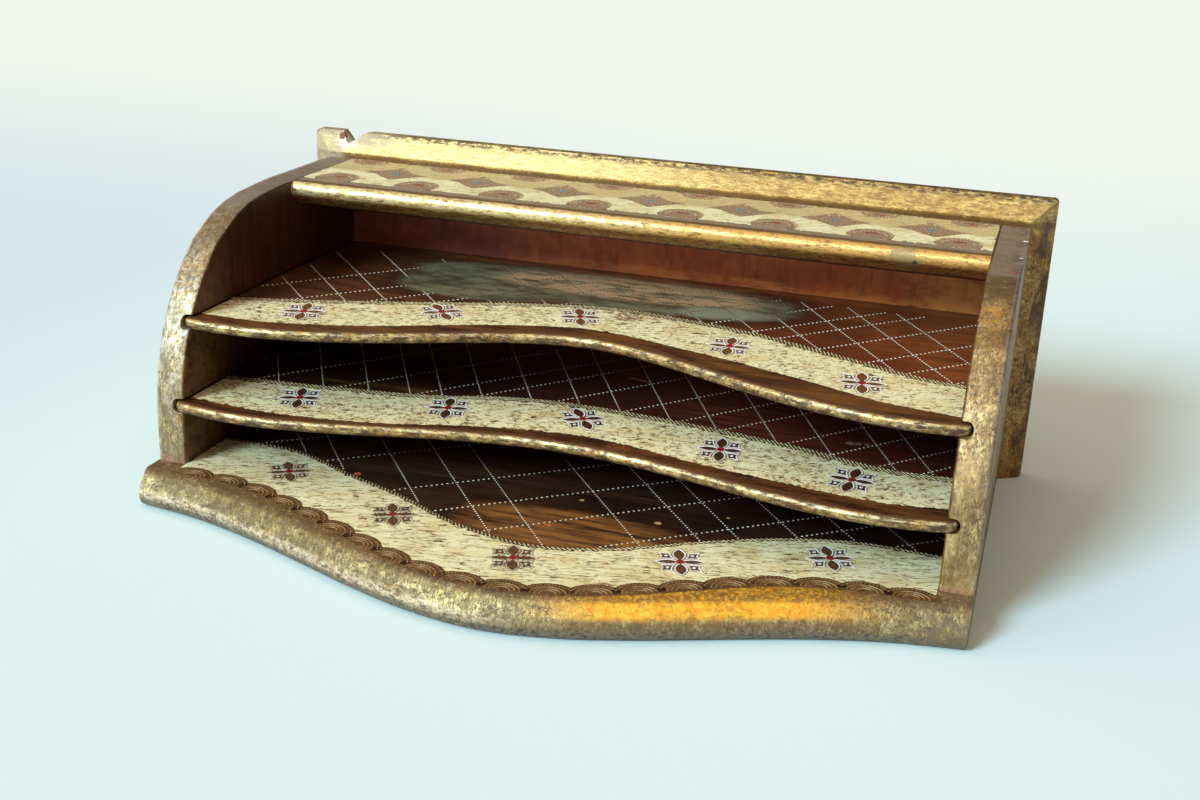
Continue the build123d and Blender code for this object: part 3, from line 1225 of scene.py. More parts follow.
# %% Lines of beads
BEAD_THICK = 0.12
BEAD_TOP = 0.36
LINE_GAP = 2.8
FEWEST_BEADS = 3
LATTICE_HALF = INNER_HALF - 1.2
DASH = (1.8, 1.06, 0.66)
DOT = (2.0, 0.96, 1.0)


def slanted_line(bead, foot, lean, board_top, end_depth):
    """A row of beads from a foot on the plan, at an angle, to the edge of the field."""
    pitch, length, width = bead
    across, back = cos(lean), sin(lean)
    starts, ends = [0.0], [(end_depth - foot[1]) / back]
    for wall in (-LATTICE_HALF, LATTICE_HALF):
        meeting = (wall - foot[0]) / across
        if (wall > 0) == (across > 0):
            ends.append(meeting)
        else:
            starts.append(meeting)
    start, end = max(starts), min(ends)
    count = int((end - start) / pitch)
    if count < FEWEST_BEADS:
        return []
    cone = bpy.ops.mesh.primitive_cone_add
    row = added(cone, vertices=6, radius1=0.5, radius2=BEAD_TOP, depth=1)
    row.scale = (length * MM, width * MM, (BEAD_THICK + LACQUER_THICK) * MM)
    row_of(settle(row, "bead"), count, pitch)
    x, depth = foot[0] + across * start, foot[1] + back * start
    row.location = on_plan(x, depth, board_top + LACQUER_THICK)
    row.rotation_euler = (0, 0, lean)
    return [settle(row, "line")]


def lattice(name, band, board_top, end_depth, dashed, dotted):
    """Both families. Each has its feet and its lean in degrees at the left and right ends."""
    rows = []
    for bead, (feet, left_lean, right_lean) in ((DASH, dashed), (DOT, dotted)):
        for x in feet:
            share = min(max((x + INNER_HALF) / (2 * INNER_HALF), 0), 1)
            lean = radians(left_lean + (right_lean - left_lean) * share)
            rows += slanted_line(bead, (x, band(x) + LINE_GAP), lean, board_top, end_depth)
    print(name, "lines", len(rows))
    return joined(rows, name)


lattice(
    "upper_lattice", UPPER_BAND_REAR, UPPER_TOP, 131.0,
    ((-113, -98, -83, -66, -46, -26, -6, 14, 36, 59, 84, 112, 133, 152), 133, 121),
    ((-154, -119, -92, -68, -45, -22, 0, 20, 38, 55, 66, 82, 101, 116, 133), 50, 47),
)
lattice(
    "lower_lattice", LOWER_BAND_REAR, LOWER_TOP, WALL_DEPTH - 2,
    ((-118, -100, -82, -66, -54, -40, -22, -3, 13, 33, 51, 74, 95, 118, 131, 152), 120, 113),
    ((-155, -128, -95, -65, -43, -13, 14, 36, 53, 77, 94, 111, 126), 52, 49),
)
lattice(
    "base_lattice", BASE_BAND_REAR, BASE_TOP, WALL_DEPTH - 2,
    ((-104, -83, -45, -12, 8, 39, 57, 69, 88, 107, 128, 146), 127, 127),
    ((-150, -122, -92, -57, -36, -14, 27, 88, 122), 40, 39),
)

# %% [markdown]
# ## The top
#
# Two waves of cream cross along the top and leave a row of brown lozenges between them, with
# half rosettes in their arches, cut off by the nose in front and by the rail behind. Short light
# strokes stand round each rosette like lashes.

# %% Cream field, lozenges and rosettes
TOP_BAND_FRONT = 97.2
TOP_BAND_REAR = WALL_DEPTH - 1.2
LOZENGES_AT = (-107.8, -70.8, -33.8, 3.2, 40.2, 77.2, 114.2)
LOZENGE_DEPTH = 120.5
LOZENGE = (
    (-13.5, -1.5), (-8.0, 3.4), (-3.8, 8.6), (-1.2, 12.0), (3.2, 6.4), (7.0, 2.1),
    (14.0, 0.4), (8.6, -5.2), (4.6, -10.0), (2.2, -12.2), (-2.6, -8.6), (-7.0, -4.2),
)
CHEVRON_AT = (-1.4, 6.6)
FRONT_AT = (-125.3, -90.0, -53.4, -16.4, 20.6, 57.2, 93.6, 125.8)
FRONT_DEPTH = 101.2
REAR_AT = (-128.0, -91.8, -54.8, -17.8, 19.2, 56.0, 92.4, 127.8)
REAR_DEPTH = 141.2
ROSETTE_HALF = (8.8, 9.6)
MOTIF_HEIGHT = 0.06 + SINK
OUTER_LASHES = (19, 0.95, 1.7, 0.55)
INNER_LASHES = (13, 0.66, 1.5, 0.5)
LASHES_FROM = 6
CHEVRON_STROKES = 7
CHEVRON_LEAN = 42

film(
    "top_cream_field", level_line(TOP_BAND_FRONT), level_line(TOP_BAND_REAR), CASE_TOP,
    CREAM_THICK, 2.2,
)


def along_the_top(unit, places, depth, name):
    """Copies of the motif along the top, one at each X."""
    return set_out(unit, name, CASE_TOP + CREAM_THICK - SINK, [(x, depth, 0) for x in places])


def rosette():
    """An ellipse with a slightly wandering rim."""
    points = []
    for x, y in ellipse(1.0, 1.0, 48):
        swell = 1 + 0.05 * noise.noise(Vector((x * 2.5, y * 2.5, 4)))
        points.append((x * ROSETTE_HALF[0] * swell, y * ROSETTE_HALF[1] * swell))
    return plate(points, MOTIF_HEIGHT)


def lash(length, width, turned, x, y):
    """One short light stroke."""
    piece = plate(ellipse(0.5, 0.5, 6), MOTIF_HEIGHT * 1.25)
    piece.scale = (length, width, 1)
    piece.rotation_euler = (0, 0, turned)
    piece.location = (x * MM, y * MM, 0)
    return settle(piece, "lash")


def lashes(side):
    """Two rings of strokes round a rosette, on its rear side 1 or its front side -1."""
    strokes = []
    for count, reach, length, width in (OUTER_LASHES, INNER_LASHES):
        for i in range(count):
            share = i / (count - 1)
            turn = radians(LASHES_FROM + (180 - 2 * LASHES_FROM) * share) * side
            out = reach + 0.05 * noise.noise(Vector((i * 1.7, side, reach)))
            turned = turn + 0.5 * noise.noise(Vector((i * 2.3, reach, 1)))
            x, y = cos(turn) * ROSETTE_HALF[0] * out, sin(turn) * ROSETTE_HALF[1] * out
            strokes.append(lash(length, width, turned, x, y))
    return joined(strokes, "lashes")


def chevron():
    """A few light strokes that meet like a V near the rear corner of a lozenge."""
    strokes = []
    for i in range(CHEVRON_STROKES):
        side = 1 if i % 2 else -1
        turned = radians(90 + side * CHEVRON_LEAN)
        strokes.append(lash(2.6, 0.6, turned, side * 1.5, 4.2 - 1.5 * (i // 2)))
    return joined(strokes, "chevron")


along_the_top(plate(LOZENGE, MOTIF_HEIGHT), LOZENGES_AT, LOZENGE_DEPTH, "top_lozenges")
front_rosettes = along_the_top(rosette(), FRONT_AT, FRONT_DEPTH, "front_rosettes")
rear_rosettes = along_the_top(rosette(), REAR_AT, REAR_DEPTH, "rear_rosettes")
cut_at(front_rosettes, on_plan(0, TOP_BAND_FRONT - 1.6, 0))
cut_at(rear_rosettes, on_plan(0, WALL_DEPTH - 0.3, 0), keep_behind=False)
along_the_top(lashes(1), FRONT_AT, FRONT_DEPTH, "front_lashes")
along_the_top(lashes(-1), REAR_AT, REAR_DEPTH, "rear_lashes")
chevrons_at = [x + CHEVRON_AT[0] for x in LOZENGES_AT]
along_the_top(chevron(), chevrons_at, LOZENGE_DEPTH + CHEVRON_AT[1], "top_chevrons")
for name, places, depth, half_wide, half_deep in (
    ("blue_dots", LOZENGES_AT, LOZENGE_DEPTH - 0.6, 2.0, 1.5),
    ("front_red_dots", FRONT_AT, 103.5, 2.6, 1.3),
    ("rear_red_dots", REAR_AT, 137.0, 2.4, 1.1),
):
    dot = plate(ellipse(half_wide, half_deep, 10), MOTIF_HEIGHT * 1.2)
    along_the_top(dot, places, depth, name)

# %% [markdown]
# ## Finishes of the boards
#
# One board shows several coats: leaf where it faces out, lacquer where it faces into the rack,
# bare stained wood behind and below. Shares made from the place on the board choose between
# them, and washes put the wear where hands, dust and the brush left it. Some washes paint in
# highlight and shade instead, as said where they stand.

# %% Sides
GROOVE_MOUTHS = (2.6, 11.0)
GROOVE_END = INNER_HALF + GROOVE_DEPTH

side = leafed("side_gilding", SIDE_GOLD, 0.0, 0.75, (1, 1, 2.2))
at_left = side.share(("X", 20, -20))
at_right = side.share(("X", -20, 20))
off_outer = side.share(("|X|", OUTER_HALF - 0.03, OUTER_HALF - 0.15))
side.wash("violet", (146, 130, 104), 0.6, (5, 0.42, 0.58, (1, 1, 1.8)), at_left, 0.6)
# Whitish glints on the front curve of the left side are painted highlight.
side.wash(
    "pale", (222, 214, 196), 0.3, (3.2, 0.46, 0.60, (1, 1, 1.6), 9), at_left, ("Z", 20, 60),
    side.between(off_outer, 0.2, 0.7), side.between(("Z", 76, 98), 1.0, 0.45),
)
side.wash(
    "bright", (232, 200, 134), 0.2, (6, 0.44, 0.58, (1, 1, 5), 2), at_right, ("Z", 94, 62), 0.45,
)
side.wash("streaks", (136, 100, 54), 0.3, (3.4, 0.44, 0.56, (1, 1, 3.4), 13), at_right, 0.55)
side.wash(
    "shoulder", (98, 76, 50), 0.5, at_left, ("Z", 80, 96), (5, 0.34, 0.56, (1, 1, 1.6), 12), 0.6,
)
# The level top is dulled and washed grey: painted reflection of the pale light that a level top
# mirrors.
near_top = side.share(("Z", CASE_TOP - 1.6, CASE_TOP - 0.8))
further_down = side.share(("Z", CASE_TOP - 6.0, CASE_TOP - 1.0))
level_part = side.between(at_left, near_top, further_down)
side.wash("greyed top", (140, 122, 106), 0.85, (4, 0.26, 0.54), level_part, 0.92)
side.wash(
    "dark zone", (98, 74, 40), 0.6, ("Y", 41, 50), ("Y", 68, 62), at_right,
    (4, 0.32, 0.54, EVEN, 4), 0.85,
)
right_edge = side.times(("X", OUTER_HALF - 6.5, OUTER_HALF - 1.0), off_outer)
side.wash(
    "grime", (66, 48, 40), 0.6, (7, 0.46, 0.58, (1, 1, 2.4), 5),
    side.between(right_edge, 0.3, 0.9), 0.65,
)
side.wash(
    "outer face", (104, 74, 42), 0.3, ("|X|", OUTER_HALF - 0.6, OUTER_HALF - 0.1),
    (6, 0.40, 0.60, (1, 1.6, 1), 10), 0.6,
)
# A grey-white line along the outer arrises, paler on the left side, is painted highlight where the
# arris catches the light.
side.wash(
    "arris", side.mix(at_left, (150, 138, 140), (206, 202, 206)), 0.6,
    ("|X|", OUTER_HALF - 1.6, OUTER_HALF - 0.9), off_outer, (2, 0.44, 0.56, (1, 1, 3), 3), 0.6,
)
side.wash(
    "chips half way up", WHITE_GESSO, 1.0, ("Z", 66, 76), ("Z", 98, 88), at_right,
    ("|X|", 143.4, 142.2), (1.4, 0.60, 0.63, EVEN, 8),
)
inside = lacquer_coat(side, 3.0, (96, 42, 20), (44, 17, 9))
inside = side.washed(inside, (136, 98, 46), 0.0, ("Y", 44, 4), (4, 0.38, 0.58), 0.7)
side.lay(inside, sheltered(side))
for bottom, mouth in zip(GROOVE_FLOORS, GROOVE_MOUTHS):
    side.lay(
        inside, ("|X|", GROOVE_END + 0.6, GROOVE_END + 0.3), ("Y", mouth, mouth + 1.5),
        ("Z", bottom - 0.6, bottom - 0.2),
        ("Z", bottom + GROOVE_HEIGHT + 0.6, bottom + GROOVE_HEIGHT + 0.2),
    )
side.wash(
    "foot", (184, 128, 104), 0.9, ("Z", BASE_TOP + 3.2, BASE_TOP + 1.4), ("Y", 3.0, 1.0),
    (1.8, 0.40, 0.56), 0.7,
)
side.wash(
    "chips along the top", WHITE_GESSO, 1.0, ("Z", CASE_TOP - 3, CASE_TOP - 1), at_right,
    (1.6, 0.665, 0.69, EVEN, 7),
)
side.chips("gesso", WHITE_GESSO, (149.0, 118, CASE_TOP, 1.1), (148.8, 90, CASE_TOP, 0.7))
side.chips("bole", (176, 84, 78), (147.0, 70, 104.6, 0.9))
side.wash(
    "orange glow", (204, 148, 56), 0.3, side.spot(143.0, 38, 96.5, 6.0, 1.6),
    (2.6, 0.42, 0.60, (1, 1.6, 1.6)), 0.65,
)
side.close(2.0, 0.24, rough=0.75)
print("side nodes", len(side.tree.nodes))

# %% Base
base = leafed("base_gilding", BASE_GOLD, 5.0, 0.5, (0.8, 1.6, 1.6))
base.wash("olive", (134, 116, 70), 0.35, (3, 0.40, 0.58), ("X", 120, 20), 0.7)
base.wash(
    "shaded", (108, 82, 48), 0.5, (9, 0.42, 0.60, (2.4, 1, 1), 4),
    base.between(("X", -90, -50), 0.7, 0.35),
)
# A pale streak low on the nose, left of the middle, is painted highlight on the nose's rounding.
base.wash(
    "pale band", (234, 212, 178), 0.15, ("Z", 3.0, 5.0), ("Z", 8.6, 6.2), ("X", 30, -20),
    (1.1, 0.40, 0.56, (2, 1, 1)), 0.85,
)
orange_here = base.times(
    ("X", 12, 44), ("X", 130, 92), ("Z", 7.0, 9.6), (1.1, 0.74, 0.60, EVEN, 3, 7, 0.78),
)
orange_leaf = base.mix((2.2, 0.42, 0.58), (250, 160, 22), (255, 196, 58))
base.lay((orange_leaf, 0.34, 0.1), orange_here)
base.wash(
    "speckles", (78, 56, 34), 0.5, (1.9, 0.52, 0.60, (2.2, 1, 1), 11),
    base.between(orange_here, 0.75, 0.4),
)
# The lower, downturned part of the nose is washed brown, and grey nearest the table: painted shade
# where the rounding turns away from the light.
base.wash(
    "brown below", (120, 92, 60), 0.6, ("X", -10, 50), ("Z", 8.6, 6.4),
    (2.6, 0.36, 0.56, (1.6, 1, 1), 5), 0.8,
)
base.wash("underneath", (118, 104, 88), 0.8, ("Z", 5.4, 3.4), (1.6, 0.36, 0.56))
base.wash("soot", (50, 42, 44), 0.8, (1.1, 0.50, 0.58, (1.6, 1, 1), 6), ("Z", 7.0, 3.0), 0.9)
base.wash(
    "drips", (84, 58, 30), 0.4, (1.1, 0.55, 0.63, (1, 7, 7), 7.7),
    base.between(orange_here, 0.6, 0.3),
)
# A brown wash at the top of the nose, beside the scallops, is painted shade.
base.wash(
    "beside the scallops", (92, 62, 30), 0.85, ("Z", BASE_TOP - 2.0, BASE_TOP - 0.6),
    (1.5, 0.34, 0.56), 0.8,
)
base.wash("right end", (112, 92, 70), 0.7, ("X", 122, 142), (3, 0.40, 0.56), 0.75)
base.lay(lacquer_coat(base, 6.0, (110, 74, 46), (70, 44, 26)), ("Z", 0.6, 0.1))
base.close(1.8, 0.25, rough=0.76)
print("base nodes", len(base.tree.nodes))

# %% Back board
back = leafed("back_gilding", RAIL_GOLD, 9.0, 0.25, (2.4, 1, 1))
at_left = back.share(("X", 60, -60))
on_rail = back.share(("Z", CASE_TOP + 2.0, CASE_TOP + 3.2))
# Pale leaf on the rail is rubbed leaf, and its wider spread towards the left is a painted highlight.
rubbed = (1.2, 0.70, 0.52, (4, 1, 1))
back.lay(((240, 218, 146), 0.32, 0.6), rubbed, on_rail, back.between(at_left, 0.3, 0.9))
back.wash(
    "toned", (146, 100, 44), 0.2, (1.4, 0.46, 0.58, (3.5, 1, 1), 1),
    back.between(at_left, 0.75, 0.12),
)
back.wash(
    "sooty arris", back.mix(at_left, (70, 46, 26), (92, 62, 32)), 0.6,
    ("Z", RAIL_TOP - 3.0, RAIL_TOP - 0.8), (1.3, 0.42, 0.56, (2.6, 1, 1), 2),
)
back.wash(
    "foot of the rail", (104, 72, 32), 0.7, ("Z", CASE_TOP + 2.3, CASE_TOP + 1.3),
    ("Z", CASE_TOP - 1.0, CASE_TOP), 0.85,
)
above = back.calc("MAXIMUM", back.calc("SUBTRACT", back.axis("Z"), CASE_TOP), 0.0)
past_mitre = back.calc("SUBTRACT", back.axis("X"), back.times(above, 0.93))
back.wash(
    "right end", (132, 92, 46), 0.4, back.step(past_mitre, 147.8, 148.6),
    (4, 0.30, 0.54, (1, 1, 2)), 0.5,
)
back.wash(
    "blackened", (66, 42, 30), 0.7, back.step(past_mitre, 149, 151),
    (2.8, 0.51, 0.60, (1, 1, 2.4), 6), 0.8,
)
back.wash(
    "far edge", (78, 50, 40), 0.7, back.step(past_mitre, 152.5, 154.5),
    (5, 0.42, 0.58, (1, 1, 3), 8), 0.8,
)
left_end = back.calc(
    "MAXIMUM",
    back.times(("X", CHIP_RIGHT + 26, CHIP_RIGHT), ("Z", CASE_TOP + 4.0, CASE_TOP + 7.0)),
    back.share(("X", CHIP_LEFT + 6, CHIP_LEFT)),
)
back.wash("dusty left end", (186, 168, 136), 0.85, left_end, (2.4, 0.30, 0.56), 0.85)
# The wall behind the upper shelf is painted lighter and more orange to the right: painted light, where
# more light reaches into the rack.
lit_to_right = back.share(("X", -110, 40))
wall = lacquer_coat(
    back, 11.0, back.mix(lit_to_right, (214, 114, 70), (248, 136, 62)),
    back.mix(lit_to_right, (134, 62, 38), (176, 78, 34)),
)
for colour, *shares in (
    # painted light at the wall's right end
    ((255, 190, 96), ("X", 70, 130), (7, 0.36, 0.60, (3, 1, 1)), 0.7),
    ((70, 28, 16), (4, 0.50, 0.60, (1, 1, 5), 5), 0.3),
    ((246, 150, 72), ("Z", UPPER_TOP + 4.5, UPPER_TOP + 2.5), ("Z", UPPER_TOP - 0.5, UPPER_TOP),
     (5, 0.44, 0.58, (6, 1, 1)), lit_to_right, 0.7),
):
    wall = back.washed(wall, colour, 0.0, *shares)
back.lay((wall[0], 0.55, 0.0), sheltered(back), ("Z", CASE_TOP - 0.1, CASE_TOP - 0.6))
wood = lacquer_coat(back, 12.0, (122, 84, 54), (74, 46, 28))
wood = back.washed(wood, (140, 102, 68), 0.0, (5, 0.42, 0.56, (14, 1, 1), 16), 0.5)
back.lay(wood, ("Y", BACK_REAR - 1.2, BACK_REAR - 0.3))
broken = back.spot(CHIP_FOOT[0] - 1.0, WALL_DEPTH + 4.0, CHIP_FOOT[1] + 1.2, 4.6, 0.9)
back.wash("broken corner", (226, 218, 206), 1.0, broken, 0.9)
splinter = back.spot(CHIP_LEFT + 0.4, WALL_DEPTH + 5.0, RAIL_TOP - 2.2, 1.8, 0.9)
back.wash("bare wood", (132, 78, 54), 1.0, splinter)
back.wash(
    "chips at the right", WHITE_GESSO, 1.0, ("X", 136, 142), on_rail,
    (1.5, 0.61, 0.64, (1.6, 1, 1), 3),
)
back.wash("few chips", WHITE_GESSO, 1.0, on_rail, (1.2, 0.70, 0.72, (1.6, 1, 1), 4))
back.close(2.4, 0.2, (2, 1, 1), 0.72)
print("back nodes", len(back.tree.nodes))

# %% Top board
top = leafed("top_gilding", TOP_GOLD, 13.0, 0.3, (2, 1, 1))
strip = top.times(("Y", 90.6, 92.0), ("Z", CASE_TOP - 0.5, CASE_TOP - 0.1))
top.wash("grey strip", (150, 134, 114), 0.8, strip, top.between(top.blotches(3, 6), 0.7, 1.0))
top.wash("along the rail", (128, 96, 58), 0.8, strip, ("Y", 133, 137))
top.wash(
    "scratched line", (84, 54, 18), 0.6, ("Y", 87.4, 89.0), ("Y", 92.4, 91.0),
    ("Z", CASE_TOP - 1.2, CASE_TOP - 0.6), 0.9,
)
# Pale leaf along the upper half of the nose, palest to the left, is painted highlight on its rounding.
highlit_leaf = top.mix(("X", -60, 60), (246, 228, 168), (236, 184, 104))
top.lay(
    (highlit_leaf, 0.30, 0.55), ("Z", CASE_TOP - 6.4, CASE_TOP - 3.6), ("Y", 89.4, 87.6),
    (1.2, 0.60, 0.46, (3, 1, 1), 0, 8, 0.78),
)
top.wash(
    "specks", (84, 52, 28), 0.5, (0.9, 0.56, 0.64, (2.2, 1, 1), 8), ("Y", 90.5, 89.5), 0.8,
)
# The lower half of the nose turns down, away from the light: its black patches are dark specks and
# painted shade in one.
low_nose = top.times(("Z", CASE_TOP - 4.4, CASE_TOP - 7.0), ("Y", 91.5, 90))
top.wash("blackened", (62, 38, 18), 0.7, low_nose, (1.4, 0.47, 0.58, (2, 1, 1)))
top.wash("reddish", (176, 106, 48), 0.5, low_nose, (2.2, 0.50, 0.62, (2, 1, 1), 4), 0.75)
top.wash("chips below", WHITE_GESSO, 1.0, low_nose, (1.2, 0.68, 0.70, (1.4, 1, 1), 6))
top.wash("greenish", (136, 124, 92), 0.7, top.spot(108, 87.0, 101, 6.0, 1.8), 0.6)
top.chips("dark chip", (54, 44, 50), (112, 86.2, 99.8, 1.0))
top.chips(
    "gesso", WHITE_GESSO, (88, 87.6, 103.4, 0.9), (90, 87.2, 101.4, 0.8), (98, 87.0, 101.0, 0.8),
)
under = lacquer_coat(top, 14.0, (84, 42, 24), (46, 22, 13))
top.lay(under, ("Z", CASE_TOP - 9.6, CASE_TOP - 10.4))
top.close(1.8, 0.24, (2, 1, 1), 0.74)
print("top nodes", len(top.tree.nodes))

# %% Shelves
shelf = leafed("shelf_gilding", SHELF_GOLD, 17.0, 0.4, (2.5, 1, 1))
shelf.wash("burnt", (66, 40, 20), 0.6, (2.6, 0.46, 0.55, (3.4, 1, 1)), 0.85)
shelf.wash("speckles", (70, 42, 24), 0.6, (0.9, 0.55, 0.62, (2.4, 1, 1), 12), 0.85)
shelf.wash("pale chips", (236, 208, 156), 0.6, (1.6, 0.61, 0.65, (2.6, 1, 1), 14), 0.5)
shelf.wash("orange chips", (196, 108, 56), 0.6, (3.4, 0.62, 0.68, (2, 1, 1), 4))
for upper_face in (LOWER_TOP, UPPER_TOP):
    near = shelf.times(
        ("Z", upper_face - 6.0, upper_face - 5.0), ("Z", upper_face + 2.0, upper_face + 1.0),
    )
    # A thin white line along the upper arris of each shelf front is worn gesso and painted highlight.
    shelf.wash(
        "white line", (246, 226, 176), 0.2, near, ("Z", upper_face - 1.6, upper_face - 1.1),
        ("Z", upper_face - 0.3, upper_face - 0.6), (1.0, 0.46, 0.58, (5, 1, 1), 8), 0.7,
    )
    edge_roll = ("Z", upper_face - 0.42, upper_face - 0.12)
    shelf.wash("rolled edge", (92, 56, 24), 0.7, near, edge_roll, 0.95)
    shelf.wash(
        "black line", (40, 28, 20), 0.7, near, ("Z", upper_face - 2.4, upper_face - 3.4),
        (1.4, 0.42, 0.56, (3, 1, 1), 9), 0.9,
    )
below = lacquer_coat(shelf, 18.0, (66, 34, 20), LACQUER_DARK)
for upper_face in (LOWER_TOP, UPPER_TOP):
    shelf.lay(
        below, ("Z", upper_face - 3.7, upper_face - 4.1), ("Z", upper_face - 6.0, upper_face - 5.0),
    )
shelf.close(1.4, 0.12, (2, 1, 1), 0.74)
print("shelf nodes", len(shelf.tree.nodes))

# %% Nails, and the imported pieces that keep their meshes
nail = Finish("nail_steel")
nail_colour = nail.mix((1.2, 0.42, 0.62, EVEN, 0, 5, 0.55), (118, 112, 106), (104, 66, 44))
nail.use(nail_colour, 0.5, 0.8)
nail.relief(nail.blotches(0.6, 3), 0.05)
for finish, node_names in (
    (shelf, ("upper_shelf", "lower_shelf")),
    (nail, ("base_nails", "back_nails", "top_nails")),
):
    for node_name in node_names:
        for slot in frame["nodes"][node_name].material_slots:
            slot.material = finish.material
    print(finish.material.name, "on", node_names)

# %% [markdown]
# ## Finishes of the films and the ornament
#
# The cream is chalky paint with brown strokes of the brush left in it, short and mostly along the
# band. They come from noise stretched along X, cut to thin ribbons round its middle value, and
# gathered in clusters by a larger noise.

# %% Cream
BRUSH_TURN = radians(13)


def cream_finish(name, shift, flecks, stretch, size, smear=None, worn_rim=False):
    """Aged cream paint with brown flecks brushed into it, and perhaps one smear at a place."""
    finish = Finish(name)
    colour = finish.mix((14, 0.42, 0.66, EVEN, shift, 6, 0.65), CREAM, CREAM_WARM)
    if worn_rim:
        depth = finish.plus(finish.axis("Y"), finish.times(finish.blotches(5, 6), 8))
        sideways = finish.plus(finish.axis("|X|"), finish.times(finish.blotches(4, 7), 9))
        for place, low, high, tone in (
            (depth, 119, 125, (214, 196, 140)),
            (depth, 101.5, 97.5, (158, 142, 120)),
            (sideways, 142, 144, (128, 108, 86)),
        ):
            colour = finish.mix(finish.step(place, low, high), colour, tone)
    veil = finish.step(finish.blotches(0.8, 5, stretch, shift + 3, 0.7, BRUSH_TURN), 0.48, 0.64)
    colour = finish.mix(finish.times(veil, 0.4 * flecks), colour, (190, 156, 92))
    clusters = (8, 0.36, 0.60, EVEN, shift + 2, 5, 0.65)
    fleck = finish.blotches(size, 6, stretch, shift + 1, 0.72, BRUSH_TURN)
    fleck = finish.times(finish.step(fleck, 0.545, 0.585), clusters, 1.15 * flecks)
    colour = finish.mix(finish.calc("MINIMUM", fleck, 1.0), colour, FLECK)
    ribbon = finish.blotches(size * 2.6, 4, stretch, shift + 4, turned=BRUSH_TURN)
    ribbon = finish.calc("ABSOLUTE", finish.calc("SUBTRACT", ribbon, 0.5))
    ribbon = finish.times(finish.step(ribbon, 0.020, 0.008), 0.7 * flecks)
    colour = finish.mix(ribbon, colour, (140, 94, 46))
    if smear:
        smeared = finish.times(finish.spot(*smear), (1.0, 0.46, 0.54))
        colour = finish.mix(smeared, colour, (132, 74, 50))
    finish.use(colour, 0.52)
    finish.relief(finish.blotches(1.3, 5, stretch, shift), 0.12)
    return finish


upper_smear = (8.1, 78.8, UPPER_TOP, 6.0, 1.0)
upper_cream = cream_finish("upper_cream", 31.0, 1.0, (1.8, 1.1, 1), 1.7, upper_smear)
lower_cream = cream_finish("lower_cream", 32.0, 1.15, (1.8, 1.1, 1), 1.8)
base_cream = cream_finish("base_cream", 33.0, 1.0, (4.5, 1, 1), 1.3)
top_cream = cream_finish("top_cream", 34.0, 0.5, (3.2, 1, 1), 1.3, worn_rim=True)
print("cream nodes", len(upper_cream.tree.nodes))

# %% [markdown]
# Something damp once stood on the upper shelf and left a grey-green stain with a soft border. It
# is painted into the lacquer: two wide ovals, whose rims wander with the noise.

# %% Lacquer fields and the stain


def lacquered(name, shift, light_tones, dark_tones):
    """The dark field of a board. Each pair is a tone at the left and one at the right."""
    finish = Finish(name)
    tones = [finish.mix(("X", -120, 70), *pair) for pair in (light_tones, dark_tones)]
    finish.shader.inputs["Coat Weight"].default_value = 0.25
    finish.shader.inputs["Coat Roughness"].default_value = 0.3
    finish.relief(finish.blotches(2.4, 6, (10, 1, 10), shift), 0.06)
    finish.coat = lacquer_coat(finish, shift, *tones)
    return finish


def stained_part(finish, wider=0.0):
    """Where the stain lies. It can be asked for some millimetres wider."""
    large = finish.oval(-14, 112, 79 + wider, 25 + wider, 0.3)
    small = finish.oval(-60, 94, 32 + wider, 17 + wider, 0.35)
    return finish.calc("MAXIMUM", large, small)


# The upper field is lighter to the right: painted light, where more light falls into the rack.
upper = lacquered("upper_lacquer", 21.0, ((112, 68, 36), (168, 94, 44)), ((56, 31, 17), (100, 48, 22)))
rim_share = upper.between(("X", 10, 45), 0.4, 0.9)
upper.wash("dark rim", (36, 28, 17), 0.0, stained_part(upper, 9.0), rim_share)
upper.wash("darker field", (58, 28, 15), 0.0, upper.oval(72, 92, 26, 34, 0.7), 0.45)
stain = upper.mix((6, 0.40, 0.60, (2.6, 1, 1)), (82, 78, 54), (138, 136, 102))
pinkish = upper.times((5, 0.43, 0.54, (3, 1, 1), 3), upper.oval(-3, 117, 54, 15, 0.45), 0.9)
stain = upper.mix(pinkish, stain, (228, 180, 132))
light_end = upper.times(upper.oval(44, 97, 20, 9, 0.5), 0.7)
stain = upper.mix(light_end, stain, (178, 182, 146))
worn_through = upper.between((3, 0.56, 0.66, (5, 1, 1), 6), 0.94, 0.5)
upper.lay((stain, 0.4, 0.0), stained_part(upper), worn_through)
upper.wash(
    "foot of the wall", (176, 100, 46), 0.0, ("Y", WALL_DEPTH - 11, WALL_DEPTH - 7),
    (6, 0.46, 0.60, (4, 1, 1), 2, 6, 0.7), 0.7,
)

# The lower field is lighter to the right: painted light, where more light falls into the rack.
lower = lacquered("lower_lacquer", 22.0, ((58, 28, 15), (112, 52, 30)), ((28, 12, 7), (50, 20, 12)))
ochre = (4, 0.42, 0.60, (6, 1, 1), 0, 6, 0.7)
lower.wash("ochre", (120, 86, 42), 0.0, lower.oval(-80, 44, 24, 9, 0.4), ochre, 0.55)
lower.chips(
    "red scratch", (214, 124, 88), (6, 94.6, LOWER_TOP, 0.8), (8, 94.2, LOWER_TOP, 0.9),
    (10, 93.7, LOWER_TOP, 0.9), (12, 93.2, LOWER_TOP, 0.9), (14, 92.6, LOWER_TOP, 0.8),
)
lower.chips(
    "worn spot", (176, 126, 104), (99, 57, LOWER_TOP, 1.4), (102, 57.6, LOWER_TOP, 1.3),
    (105, 58.2, LOWER_TOP, 1.0),
)

